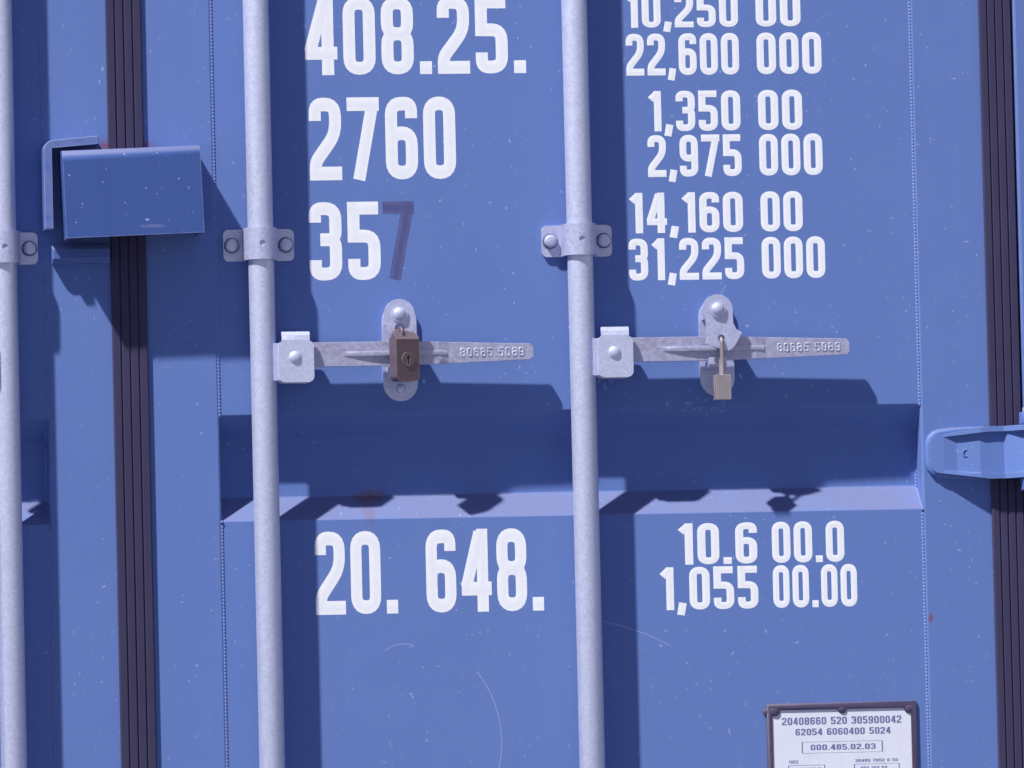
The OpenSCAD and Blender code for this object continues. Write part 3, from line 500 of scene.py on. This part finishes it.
lock_paint = blue_paint("lock_paint", srgb(60, 86, 150), srgb(72, 97, 160), srgb(50, 72, 130), 0.8,
                        LOCK_STAINS, LOCK_FLAKES)
shroud_paint = blue_paint("shroud_paint", srgb(80, 104, 168), srgb(93, 115, 177), srgb(58, 76, 130), 0.8,
                          worn_front=SHROUD_FRONT)
casting_paint = blue_paint("casting_paint", srgb(84, 107, 170), srgb(104, 124, 182), srgb(60, 74, 122), 0.9)
print("paints ready")

# %% [markdown]
# ## Zinc, rubber and the small metals
# Hot-dip zinc on the bars shows a fine spangle under a dull skin, so its metallic share is low and its
# colour nearly white. The forged handles are darker and rougher. Rubber is brown-black with dust in its
# grooves. Both padlocks are worn down to a dull brass or bronze.

# %% Zinc and rubber
def zinc(name, colour, dark, roughness, spangle):
    """Dull zinc; a higher spangle means smaller crystals."""
    material, t, shader = new_finish(name, roughness, 0.25)
    cells = t.add("ShaderNodeTexVoronoi", {"Vector": t.place(), "Scale": spangle}).outputs["Color"]
    shade = t.add("ShaderNodeSeparateColor", {0: cells}).outputs[0]
    mottled = t.math("ADD", t.math("MULTIPLY", shade, 0.5),
                     t.math("MULTIPLY", t.noise(t.place(), spangle * 0.35, 4.0, 0.7), 0.6))
    tone = t.mix(t.ramp(mottled, 0.25, 0.95), dark, colour)
    tone = t.mix(use(t, "streaks", Width=60.0, Amount=0.5), tone, dark)
    # edges paler: wear and a painted highlight
    tone = t.mix(use(t, "edge_wear_and_highlight", Reach=0.0016, Amount=0.5), tone, srgb(214, 218, 238))
    t.feed(tone, shader.inputs["Base Color"])
    t.feed(t.ramp(mottled, 0.2, 0.9, roughness - 0.08, roughness + 0.1), shader.inputs["Roughness"])
    grain(t, shader, t.noise(t.place(), spangle * 3.0, 3.0, 0.7), 0.25, 0.0004)
    return material


bar_zinc = zinc("bar_zinc", srgb(191, 197, 225), srgb(170, 175, 206), 0.5, 420.0)
fitting_zinc = zinc("fitting_zinc", srgb(182, 186, 218), srgb(158, 162, 196), 0.52, 300.0)
forged_zinc = zinc("forged_zinc", srgb(170, 171, 202), srgb(142, 141, 172), 0.55, 220.0)


def make_rubber():
    material, t, shader = new_finish("seal_rubber", 0.8, gloss=0.3)
    colour = t.mix(use(t, "fading", Size=5.0, Contrast=1.6), srgb(48, 44, 76), srgb(62, 57, 90))
    colour = t.mix(use(t, "streaks", Width=120.0, Amount=0.35), colour, srgb(78, 71, 102))
    # edges paler: wear and a painted highlight
    colour = t.mix(use(t, "edge_wear_and_highlight", Reach=0.002, Amount=0.15), colour, srgb(88, 79, 108))
    t.feed(colour, shader.inputs["Base Color"])
    grain(t, shader, t.noise(t.place(scale=(1, 1, 0.2)), 220.0, 3.0), 0.4, 0.0006)
    return material


def old_metal(name, colour, dark, worn, roughness, metallic, front=None):
    """Worn metal or paint; worn is the edge colour, for wear and a painted highlight; front, where given,
    is a painted shade on what faces out of the doorway.
    """
    material, t, shader = new_finish(name, roughness, metallic)
    tone = t.mix(use(t, "fading", Size=40.0, Contrast=2.0), dark, colour)
    if front:
        normal = t.add("ShaderNodeTexCoord").outputs["Normal"]
        facing = t.add("ShaderNodeSeparateXYZ", {0: normal}).outputs["Y"]
        # faces that look out of the doorway are painted darker, as shade
        tone = t.mix(t.ramp(facing, -0.8, -0.93, 0.0, 0.85), tone, front)
    # edges paler: wear and a painted highlight
    tone = t.mix(use(t, "edge_wear_and_highlight", Reach=0.0014, Amount=1.0), tone, worn)
    t.feed(tone, shader.inputs["Base Color"])
    grain(t, shader, t.noise(t.place(), 500.0, 3.0), 0.3, 0.0003)
    return material


seal_rubber = make_rubber()
# the front of the bronze padlock gets a painted shade
bronze = old_metal("dark_bronze", srgb(122, 106, 118), srgb(96, 82, 96), srgb(160, 146, 150), 0.5, 0.3,
                   front=srgb(66, 48, 60))
brass = old_metal("dull_brass", srgb(150, 142, 148), srgb(118, 110, 118), srgb(196, 188, 190), 0.5, 0.3)
sealant = old_metal("black_sealant", srgb(78, 68, 100), srgb(52, 46, 76), srgb(140, 126, 158), 0.6, 0.0)
plate_white = old_metal("plate_white", srgb(236, 238, 250), srgb(222, 224, 243), srgb(240, 241, 250), 0.45,
                        0.0)
figure_white = old_metal("figure_white", srgb(248, 249, 255), srgb(238, 240, 252), srgb(250, 250, 255), 0.5,
                         0.0)
# dark rings of painted shade for the crevices round the bolt heads
bolt_crevice_shade = old_metal("bolt_crevice_shade", srgb(86, 88, 120), srgb(64, 66, 98), srgb(120, 122, 150), 0.7, 0.0)
plate_ink = old_metal("plate_ink", srgb(116, 120, 166), srgb(96, 100, 148), srgb(116, 120, 166), 0.5, 0.0)
scratch_pale = old_metal("scratch_pale", srgb(160, 170, 214), srgb(120, 134, 190), srgb(160, 170, 214), 0.6,
                         0.0)
figure_faded = old_metal("figure_faded", srgb(74, 78, 132), srgb(64, 68, 122), srgb(86, 92, 146), 0.5, 0.0)
print("metals, rubber and figures ready")

# %% [markdown]
# ## Finishes and soft edges for the structure
# The nodes of the structure keep their meshes. A live Weld and a live Bevel modifier give each bent or cut
# edge its small radius, which is what catches the light on real sheet and plate. A Weld comes first since
# the meshes are loose triangles, and a Bevel only finds edges that two faces share.

# %% Dress the nodes
def finish_of(name):
    if "seal" in name:
        return seal_rubber
    if name == "data_plate":
        return plate_white
    if name == "large_padlock":
        return bronze
    if name == "small_padlock":
        return brass
    if "casting" in name:
        return casting_paint
    if name == "left_lock_shroud":
        return shroud_paint
    if name == "right_lock_hood":
        return lock_paint
    if "handle" in name and "catches" not in name:
        return forged_zinc
    if name.endswith("_bar") or "cams" in name:
        return bar_zinc
    if any(word in name for word in ("bracket", "catches", "flap", "keepers", "pins")):
        return fitting_zinc
    if any(word in name for word in ("post", "header", "sill", "lugs")):
        return frame_paint
    return door_paint


def edge_width(name):
    if "casting" in name:
        return 6 * MM
    if "blades" in name:
        return 2.5 * MM
    if "seal" in name:
        return 0.6 * MM
    if "sheet" in name:
        return 1.5 * MM
    if "stiles" in name or "post" in name or "header" in name or "sill" in name:
        return 3 * MM
    if "plate" in name:
        return 0.5 * MM
    return 1.2 * MM


for name, node in nodes.items():
    dress(node, finish_of(name))
    if "bracket" in name:
        continue                              # a bevel would crease the curve of its bent strap
    weld = node.modifiers.new("weld", "WELD")
    weld.merge_threshold = 0.01 * MM
    bevel = node.modifiers.new("bevel", "BEVEL")
    bevel.width = edge_width(name)
    bevel.segments = 2
    bevel.limit_method = "ANGLE"
    bevel.angle_limit = math.radians(28)
    bevel.use_clamp_overlap = True
print("dressed", len(nodes), "nodes")

# %% [markdown]
# ## Beads of weld
# The sheet is welded to the uprights and rails all round, and each bead is a row of overlapping drops that
# the welder left one after another. One drop is modelled, an array repeats it along the seam, and the row
# is turned to run from one end of the seam to the other, down into the pressed recesses and out again.

# %% Beads of weld
DROP_R = 2.4 * MM
DROP_STEP = 4.6 * MM


def weld_bead(start, end):
    """A row of drops from one place to another."""
    bpy.ops.mesh.primitive_uv_sphere_add(segments=8, ring_count=4, radius=DROP_R, location=(0, 0, 0))
    drop = bpy.context.object
    drop.scale = (1.0, 0.6, 1.5)
    settle(drop)
    run = end - start
    apply_modifier(drop, "ARRAY", count=max(2, int(run.length / DROP_STEP)), use_relative_offset=False,
                   use_constant_offset=True, constant_offset_displace=(0, 0, DROP_STEP))
    drop.data.transform(Matrix.Translation(start) @ run.to_track_quat("Z", "Y").to_matrix().to_4x4())
    return drop


RAIL_H, STILE_W = 150 * MM, 100 * MM          # rails and uprights of a leaf
RECESS_DEEP, RECESS_FLAT, RECESS_TALL, RECESS_PITCH = 38 * MM, 76 * MM, 140 * MM, 760 * MM
BEAD_OFF = 0.4 * MM                           # from the edge of an upright to the middle of its bead
SEAM_LOW, SEAM_HIGH = LEAF_BOTTOM + RAIL_H, LEAF_TOP - RAIL_H
profile = [(SEAM_LOW, 0.0)]                   # heights along the sheet and how deep it lies there
for middle in (LEAF_MIDDLE - RECESS_PITCH / 2, LEAF_MIDDLE + RECESS_PITCH / 2):
    profile += [(middle - RECESS_TALL / 2, 0.0), (middle - RECESS_FLAT / 2, RECESS_DEEP),
                (middle + RECESS_FLAT / 2, RECESS_DEEP), (middle + RECESS_TALL / 2, 0.0)]
profile.append((SEAM_HIGH, 0.0))
for side, sign in SIDES.items():
    beads = []
    for x in (LEAF_NEAR + STILE_W + BEAD_OFF, LEAF_FAR - STILE_W - BEAD_OFF):
        corners = [Vector((sign * x, SHEET + deep, z)) for z, deep in profile]
        beads += [weld_bead(a, b) for a, b in zip(corners, corners[1:])]
    for z in (SEAM_LOW, SEAM_HIGH):
        beads.append(weld_bead(Vector((sign * (LEAF_NEAR + STILE_W), SHEET, z)),
                               Vector((sign * (LEAF_FAR - STILE_W), SHEET, z))))
    seams = smooth(join(beads, f"{side}_weld_beads"), 60)
    dress(seams, door_paint)
    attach(seams, f"{side}_door")
    print(seams.name, len(seams.data.polygons), "faces")

# %% [markdown]
# ## Welds round the hinge blades
# The tip of each blade is welded to the upright by one thick bead, which fills the corner between the two
# and fades out where the blade leaves the upright. Single drops would show their gaps on so thick a bead,
# so it is a curve with a round section whose radius swells at every drop, turned into a mesh.

# %% Hinge welds
# a blade's tip and its height there, and where it reaches its full height, from the leaf's edge
BLADE_TIP, BLADE_TIP_H, BLADE_FULL, BLADE_H = 90 * MM, 52 * MM, 14 * MM, 70 * MM
HINGE_END, HINGE_SPREAD = 75 * MM, 377.5 * MM  # from the leaf's ends and from its middle
HINGE_Z = [LEAF_BOTTOM + HINGE_END, LEAF_MIDDLE - HINGE_SPREAD, LEAF_MIDDLE + HINGE_SPREAD,
           LEAF_TOP - HINGE_END]
THICK_BEAD_R, TIP_ROUND = 6 * MM, 16 * MM     # radius of the bead, and of its turns round the tip


def even_points(points, step):
    """Points at even steps along a line."""
    spaced, left = [points[0]], step
    for a, b in zip(points, points[1:]):
        run = (b - a).length
        while left <= run:
            spaced.append(a.lerp(b, left / run))
            left += step
        left -= run
    return spaced


def swelling_bead(points, radius, name):
    """A round bead along a line that swells at every second point and fades out at both ends."""
    points = even_points(points, radius * 0.55)
    curve = bpy.data.curves.new(name, "CURVE")
    curve.dimensions = "3D"
    curve.bevel_depth = radius
    curve.bevel_resolution = 2
    spline = curve.splines.new("POLY")
    spline.points.add(len(points) - 1)
    last = len(points) - 1
    for i, (place, point) in enumerate(zip(spline.points, points)):
        place.co = (*point, 1)
        place.radius = (1.0 if i % 2 else 0.86) * min(1.0, 0.15 + min(i, last - i) / 16)
    return as_mesh(curve)


for side, sign in SIDES.items():
    beads = []
    for z in HINGE_Z:
        outline = [(BLADE_FULL, BLADE_H / 2), (BLADE_TIP, BLADE_TIP_H / 2), (BLADE_TIP, -BLADE_TIP_H / 2),
                   (BLADE_FULL, -BLADE_H / 2)]
        corners = [Vector((sign * (LEAF_FAR - back), FACE - 1 * MM, z + high)) for back, high in outline]
        beads.append(swelling_bead(turned(corners, False, TIP_ROUND, 8), THICK_BEAD_R, "bead"))
    welds = smooth(join(beads, f"{side}_hinge_welds"), 60)
    dress(welds, door_paint)
    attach(welds, f"{side}_door")
    print(welds.name, len(welds.data.polygons), "faces")

# %% [markdown]
# ## Bolt heads on the brackets
# Each saddle bracket is held by two dome-headed bolts, with a dark ring of painted shade in the crevice
# round each head. One head and one ring of painted shade are modelled and copied to every bolt, so all are
# the same size as on the real door.

# %% Bolt heads
BOLT_SPREAD = 36 * MM                         # from the bar's axis to a bolt
BOLT_R = 8.5 * MM
# the rings are painted shade in the crevices round the heads
HEAD_OUT, SHADE_RING_OUT = 11.9 * MM, 5.2 * MM     # how far heads and rings stand before the bracket's seat
BRACKET_END, BRACKET_DROP = 95 * MM, 85.5 * MM  # from the leaf's ends, and below its middle
BRACKET_Z = {"low": LEAF_BOTTOM + BRACKET_END, "middle": LEAF_MIDDLE - BRACKET_DROP,
             "high": LEAF_TOP - BRACKET_END}
deselect_all()
bpy.ops.mesh.primitive_uv_sphere_add(segments=20, ring_count=10, radius=BOLT_R, location=(0, 0, 0))
head = bpy.context.object
head.scale = (1.0, 0.34, 1.0)
settle(head)
select_faces(head, lambda centre, normal: centre.y > 0)
bpy.ops.mesh.delete(type="FACE")
leave_edit()
smooth(head, 60)
deselect_all()
bpy.ops.mesh.primitive_torus_add(major_radius=BOLT_R + 0.6 * MM, minor_radius=1.3 * MM, major_segments=24,
                                 minor_segments=6, rotation=(math.pi / 2, 0, 0))
ring = smooth(settle(bpy.context.object), 60)
for side, sign in SIDES.items():
    heads, rings = [], []
    for place in ("inner", "outer"):
        for level, z in BRACKET_Z.items():
            back = SHEET - FACE if level == "middle" else 0
            for across in (-BOLT_SPREAD, BOLT_SPREAD):
                x = BAR_X[side, place] + across
                heads.append(copy_at(head, Vector((x, FACE + back - HEAD_OUT, z))))
                rings.append(copy_at(ring, Vector((x, FACE + back - SHADE_RING_OUT, z))))
    # the rings are painted shade in the crevices round the heads
    for group, name, finish in ((heads, "bracket_bolt_heads", fitting_zinc),
                                (rings, "bracket_bolt_grime", bolt_crevice_shade)):
        piece = join(group, f"{side}_{name}")
        dress(piece, finish)
        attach(piece, f"{side}_door")
remove(head)
remove(ring)
print("bolt heads:", 2 * len(heads))

# %% [markdown]
# ## Stamped rings on the hinge blades
# A forged blade carries a small ring pressed into its web, near the tip. It is a low torus lying on the
# web, copied to all eight blades.

# %% Stamped rings
STAMP_X = LEAF_FAR - 42 * MM                  # the middle of a ring on its web
STAMP_Y = FACE - 13.8 * MM
deselect_all()
bpy.ops.mesh.primitive_torus_add(major_radius=4.6 * MM, minor_radius=0.8 * MM, major_segments=24,
                                 minor_segments=8, rotation=(math.pi / 2, 0, 0))
stamp = smooth(settle(bpy.context.object), 60)
for side, sign in SIDES.items():
    stamps = join([copy_at(stamp, Vector((sign * STAMP_X, STAMP_Y, z))) for z in HINGE_Z],
                  f"{side}_hinge_stamps")
    dress(stamps, door_paint)
    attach(stamps, f"{side}_door")
remove(stamp)
print("stamped rings:", 2 * len(HINGE_Z))

# %% [markdown]
# ## Numerals as strips
# The marks on a container are cut from white film, in a narrow letter whose strokes all have one width and
# whose corners are round. Blender's own font is much wider, so each numeral is instead a few strips of one
# width that follow a middle line. Here the rows are plain numbers that say nothing.

# %% Numerals
STROKE = 0.165                                # width of a stroke, for a numeral 1 high
WIDE = 0.44                                   # width of a numeral
NEAR, FAR = STROKE / 2, WIDE - STROKE / 2     # middle lines of its outer strokes
LOW, HIGH, WAIST = STROKE / 2, 1 - STROKE / 2, 0.52
SPACE = 0.08                                  # between two numerals
NUMERALS = {
    "0": [([(NEAR, LOW), (FAR, LOW), (FAR, HIGH), (NEAR, HIGH)], True)],
    "1": [([(0.22, 0), (0.22, 1)], False), ([(0.06, 0.79), (0.20, 0.93)], False)],
    "2": [([(NEAR, 0.72), (NEAR, HIGH), (FAR, HIGH), (FAR, 0.56), (NEAR, 0.22), (NEAR, LOW)], False),
          ([(0, LOW), (WIDE, LOW)], False)],
    "3": [([(NEAR, 0.74), (NEAR, HIGH), (FAR, HIGH), (FAR, WAIST), (0.15, WAIST)], False),
          ([(0.15, WAIST), (FAR, WAIST), (FAR, LOW), (NEAR, LOW), (NEAR, 0.26)], False)],
    "4": [([(0.31, 0), (0.31, 1)], False), ([(0.27, 0.96), (0.07, 0.30)], False),
          ([(0, 0.28), (WIDE, 0.28)], False)],
    "5": [([(0, HIGH), (WIDE - 0.02, HIGH)], False), ([(NEAR, 1), (NEAR, 0.48)], False),
          ([(NEAR, 0.56), (FAR, 0.56), (FAR, LOW), (NEAR, LOW), (NEAR, 0.27)], False)],
    "6": [([(NEAR, LOW), (FAR, LOW), (FAR, 0.56), (NEAR, 0.56)], True),
          ([(NEAR, 0.32), (NEAR, HIGH), (FAR, HIGH), (FAR, 0.74)], False)],
    "7": [([(0, HIGH), (WIDE, HIGH)], False), ([(FAR, 0.95), (0.15, 0)], False)],
    "8": [([(NEAR, LOW), (FAR, LOW), (FAR, WAIST), (NEAR, WAIST)], True),
          ([(NEAR, WAIST), (FAR, WAIST), (FAR, HIGH), (NEAR, HIGH)], True)],
    "9": [([(NEAR, 0.44), (FAR, 0.44), (FAR, HIGH), (NEAR, HIGH)], True),
          ([(FAR, 0.68), (FAR, LOW), (NEAR, LOW), (NEAR, 0.26)], False)],
    ".": [([(0, LOW), (STROKE, LOW)], False)],
    ",": [([(0.10, STROKE), (0.05, -0.12)], False)],
    " ": [],
}
ADVANCE = {".": STROKE, ",": STROKE, " ": 0.26, "1": 0.31}


def numeral_row(text, x0, x1, z0, z1, y, thick=0.25 * MM):
    """A row of numerals between two heights and two places across, standing out from depth y."""
    lines, across = [], 0.0
    for sign in text:
        for points, closed in NUMERALS[sign]:
            here = [Vector((across + x, z)) for x, z in points]
            lines.append((turned(here, closed, (FAR - NEAR) / 2), closed))
        across += ADVANCE.get(sign, WIDE) + SPACE
    row = strips(lines, STROKE, "numerals")
    wide = (x1 - x0) / (across - SPACE)
    row.data.transform(Matrix.Diagonal((wide, z1 - z0, thick / STROKE, 1)))
    row.data.transform(Matrix.Rotation(math.pi / 2, 4, "X"))
    row.data.transform(Matrix.Translation((x0, y, z0)))
    return row


# %% [markdown]
# ## Figures on the right leaf
# The rows stand on the flats of the sheet. One figure has lost its film and shows as a darker mark in the
# paint that was under it.

# %% Figures
MARKS_Z = -110.5                              # from the drawing of the marks to the frame's own heights
# each row: its numerals, its ends across the leaf and its lower and upper edge, in mm
ROWS = [("408.25.", 238, 534, 1467, 1571), ("2760", 241, 437, 1327, 1437), ("35", 238, 333, 1194, 1298),
        ("20. 648.", 236, 541, 751, 861),
        ("10,250", 669, 822, 1526, 1573), ("22,600", 669, 822, 1462, 1518), ("1,350", 697, 822, 1387, 1441),
        ("2,975", 695, 822, 1326, 1382), ("14,160", 668, 822, 1251, 1305), ("31,225", 666, 822, 1188, 1244),
        ("10.6", 723, 830, 808, 863), ("1,055", 697, 830, 748, 805),
        ("00", 846, 907, 1526, 1573), ("000", 846, 934, 1462, 1518), ("00", 846, 906, 1387, 1441),
        ("000", 846, 932, 1326, 1382), ("00", 846, 903, 1251, 1305), ("000", 846, 932, 1188, 1244),
        ("00.0", 850, 948, 808, 863), ("00.00", 850, 964, 748, 805)]


def door_row(text, x0, x1, z0, z1):
    return numeral_row(text, x0 * MM, x1 * MM, (z0 + MARKS_Z) * MM, (z1 + MARKS_Z) * MM, SHEET)


figures = join([door_row(*row) for row in ROWS], "door_figures")
dress(figures, figure_white)
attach(figures, "right_door")
worn_figure = door_row("7", 337, 379, 1194, 1298)
worn_figure.name = "worn_figure"
dress(worn_figure, figure_faded)
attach(worn_figure, "right_door")
print("figures:", len(figures.data.polygons), "faces")

# %% [markdown]
# ## Raised figures on the handles
# A drop-forged handle has raised marks on its grip. They are numerals again, a few tenths of a millimetre
# thick, and each set moves with its own handle.

# %% Raised figures on the handles
GRIP_NEAR, GRIP_END = 262 * MM, 348 * MM      # the marked length, from the bar's axis
GRIP_DOWN = 16 * MM                           # from the top of a handle to the middle of its marks
MARK_H, MARK_OUT = 12 * MM, 1.4 * MM          # how high and how thick the marks are
GRIP_FRONT = FACE - 29 * MM
for (side, place), bar_x in BAR_X.items():
    low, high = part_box(f"{side}_{place}_handle")
    middle = high.z - GRIP_DOWN
    near, far = sorted((bar_x + SIDES[side] * GRIP_NEAR, bar_x + SIDES[side] * GRIP_END))
    marks = numeral_row("80685 5089", near, far, middle - MARK_H / 2, middle + MARK_H / 2, GRIP_FRONT,
                        MARK_OUT)
    marks.name = f"{side}_{place}_handle_marks"
    dress(marks, forged_zinc)
    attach(marks, f"{side}_{place}_handle")
print("marks on", len(BAR_X), "handles")

# %% [markdown]
# ## Data plate
# The plate is pressed into a bed of sealant, which squeezes out as a low ridge round it and over its
# rivets. A torus of four segments gives a ridge with mitred corners in one step. Thin ruled boxes and plain
# numbers fill the plate.

# %% Data plate
plate_low, plate_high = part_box("data_plate")
PLATE_FRONT = SHEET - 2 * MM
plate_middle = (plate_low + plate_high) / 2
plate_size = plate_high - plate_low


def square_ring(width, height, thick, x, y, z, deep):
    """A frame with mitred corners round a place; its outer size is width by height."""
    deselect_all()
    bpy.ops.mesh.primitive_torus_add(major_segments=4, minor_segments=8, major_radius=1.0,
                                     minor_radius=2 * thick / (width + height),
                                     rotation=(0, 0, math.pi / 4))
    ring = settle(bpy.context.object)
    reach = ring.dimensions.x
    ring.scale = (width / reach, height / reach, deep / ring.dimensions.z)
    settle(ring)
    ring.data.transform(Matrix.Translation((x, y, z)) @ Matrix.Rotation(math.pi / 2, 4, "X"))
    return ring


RIDGE_PAST, RIDGE_W, RIDGE_DEEP = 2 * MM, 9 * MM, 6 * MM  # wider than the plate by, width, depth
BLOB_R = 9 * MM
ridge = square_ring(plate_size.x + RIDGE_PAST, plate_size.z + RIDGE_PAST, RIDGE_W, plate_middle.x,
                    PLATE_FRONT, plate_middle.z, RIDGE_DEEP)
blobs = [ridge]
deselect_all()
bpy.ops.mesh.primitive_uv_sphere_add(segments=16, ring_count=10, radius=BLOB_R, location=(0, 0, 0))
blob = bpy.context.object
blob.scale = (1.0, 0.45, 0.9)
settle(blob)
# over the rivets and at the ridge's corner: shares of the plate's half width and height, and a size
for across, upward, size in ((-1, 1, 0.9), (0.01, 1.01, 0.72), (1.01, 1.0, 0.8), (-1.11, 0.99, 0.6),
                             (-1, -1, 0.8), (0, -1, 0.7), (1, -1, 0.8)):
    place = Vector((plate_middle.x + across * (plate_size.x / 2 - 10 * MM), PLATE_FRONT,
                    plate_middle.z + upward * (plate_size.z / 2 - BLOB_R)))
    blobs.append(copy_at(blob, place, size))
remove(blob)
bed = smooth(join(blobs, "plate_sealant"), 50)
dress(bed, sealant)
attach(bed, "right_door")

TOP = plate_high.z
INK_Y = PLATE_FRONT - 0.05 * MM
# each row of print: its numerals, its ends from the middle, its lower and upper edge below the top, in mm
PRINT = [("20408660 520 305900042", -81, 81, 28, 18), ("62054 6060400 5024", -63, 66, 42, 33),
         ("000.485.02.03", -43, 45, 62, 54.5), ("1052", -73, -60, 79, 75),
         ("30466 7802 6 50", 17, 75, 79, 75), ("50 403060 5", -68, -30, 90, 85),
         ("804 303 50", 24, 60, 90, 85), ("1740 2060 60 3050", -73, -8, 112, 107),
         ("2000 1060 7204 40 66", -73, 6, 138, 133), ("30480 28280", 20, 76, 138, 133),
         ("2600 66 1050 340", -73, 6, 164, 159), ("4060 44 80", 20, 76, 164, 159),
         ("1060 30440 2200 540 3060", -73, 76, 194, 189)]
# each ruled box: its width and height, its middle from the plate's middle and below the top, in mm
RULED = [(110, 15, 0, 58.3), (50, 13, -49, 88), (62, 13, 46, 88), (152, 16, 0, 121), (86, 16, -33, 148),
         (60, 16, 46, 148), (86, 16, -33, 174), (60, 16, 46, 174)]
RULE_W, INK_OUT = 0.9 * MM, 0.2 * MM
inked = [numeral_row(text, plate_middle.x + start * MM, plate_middle.x + end * MM, TOP - low * MM,
                     TOP - high * MM, INK_Y, INK_OUT)
         for text, start, end, low, high in PRINT]
inked += [square_ring(wide * MM, tall * MM, RULE_W, plate_middle.x + x * MM, INK_Y, TOP - z * MM, 0.3 * MM)
          for wide, tall, x, z in RULED]
ink = join(inked, "plate_figures")
dress(ink, plate_ink)
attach(ink, "right_door")
print("plate:", len(bed.data.polygons), "faces of sealant,", len(ink.data.polygons), "faces of print")

# %% [markdown]
# ## Scratches
# A chain or a lashing hook swung against the sheet leaves thin pale arcs. A mask in the paint would do for
# marks that may lie anywhere. These have a place, so each is a hair-thin strip along a curved line.

# %% Scratches
def arc(centre, radius, start, stop, steps=12):
    angles = [math.radians(start + (stop - start) * k / steps) for k in range(steps + 1)]
    return [Vector((centre[0] + radius * math.cos(a), centre[1] + radius * math.sin(a))) for a in angles]


SCRATCH_W = 0.9 * MM
# each scratch: the middle of its circle, its radius, and the angles where it starts and ends
ARCS = [((0.330, 0.470), 0.150, -18, 38), ((0.352, 0.560), 0.040, 70, 130),
        ((0.900, 1.010), 0.120, 150, 196), ((0.560, 0.330), 0.300, 60, 84)]
scratches = strips([(arc(*shape), False) for shape in ARCS], SCRATCH_W, "sheet_scratches")
scratches.data.transform(Matrix.Diagonal((1, 1, 0.2, 1)))
scratches.data.transform(Matrix.Rotation(math.pi / 2, 4, "X"))
scratches.data.transform(Matrix.Translation((0, SHEET, 0)))
dress(scratches, scratch_pale)
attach(scratches, "right_door")
print("scratches:", len(scratches.data.polygons), "faces")

# %% [markdown]
# ## Floor and light
# A plain pale floor lies just under the lower castings. One soft lamp stands for the sun, high and to the
# left, and an even blue room fills the shadows as a clear sky does. White is only what the camera and
# glossy or clear surfaces see of the room, so it adds no light to the steel.

# %% Floor
deselect_all()
bpy.ops.mesh.primitive_plane_add(size=80, location=(0, 0, GROUND - 0.5 * MM))
floor = bpy.context.object
floor.name = "floor"
floor_finish, floor_tree, floor_shader = new_finish("floor_finish", 0.9)
floor_tone = floor_tree.mix(use(floor_tree, "fading", Size=0.8, Contrast=0.6), srgb(200, 201, 204),
                            srgb(208, 209, 212))


def seen_directly(tree):
    """1 for what the camera sees straight, in gloss or through glass, and 0 for light that spreads."""
    rays = tree.add("ShaderNodeLightPath").outputs
    return tree.math("MAXIMUM", rays["Is Camera Ray"], tree.math("MAXIMUM", rays["Is Glossy Ray"],
                                                                 rays["Is Transmission Ray"]))


floor_tree.feed(floor_tree.mix(seen_directly(floor_tree), srgb(84, 88, 100), floor_tone),
                floor_shader.inputs["Base Color"])
floor.data.materials.append(floor_finish)

# %% Light
SUN_FROM = Vector((-1.36, -1, 2.4))           # towards the lamp, from the shadows of bars and handles
sun_data = bpy.data.lights.new("sun", "SUN")
sun_data.energy = 6.3
sun_data.angle = math.radians(1.5)
sun_data.color = (1.0, 0.975, 0.91)
sun = bpy.data.objects.new("sun", sun_data)
bpy.context.collection.objects.link(sun)
sun.matrix_world = SUN_FROM.to_track_quat("Z", "Y").to_matrix().to_4x4()

world = bpy.data.worlds.new("room")
bpy.context.scene.world = world
world.use_nodes = True
world.node_tree.nodes.clear()
room = Tree(world.node_tree)
fill = room.add("ShaderNodeBackground", {"Color": (0.38, 0.49, 1.0, 1.0), "Strength": 0.33})
white = room.add("ShaderNodeBackground", {"Color": (1, 1, 1, 1), "Strength": 1.0})
choice = room.add("ShaderNodeMixShader", {0: seen_directly(room), 1: fill.outputs[0], 2: white.outputs[0]})
room.feed(choice.outputs[0], room.add("ShaderNodeOutputWorld").inputs["Surface"])
bpy.context.scene.view_settings.view_transform = "Standard"
print("lamps and room ready")

# %% [markdown]
# ## Size and end
# The box of the bare structure and the box of the dressed one are written side by side. Dressing changes
# no outer size, so the two are the same to a fraction of a millimetre.

# %% Size and end
def plain(box):
    return [[float(c) for c in corner] for corner in box]
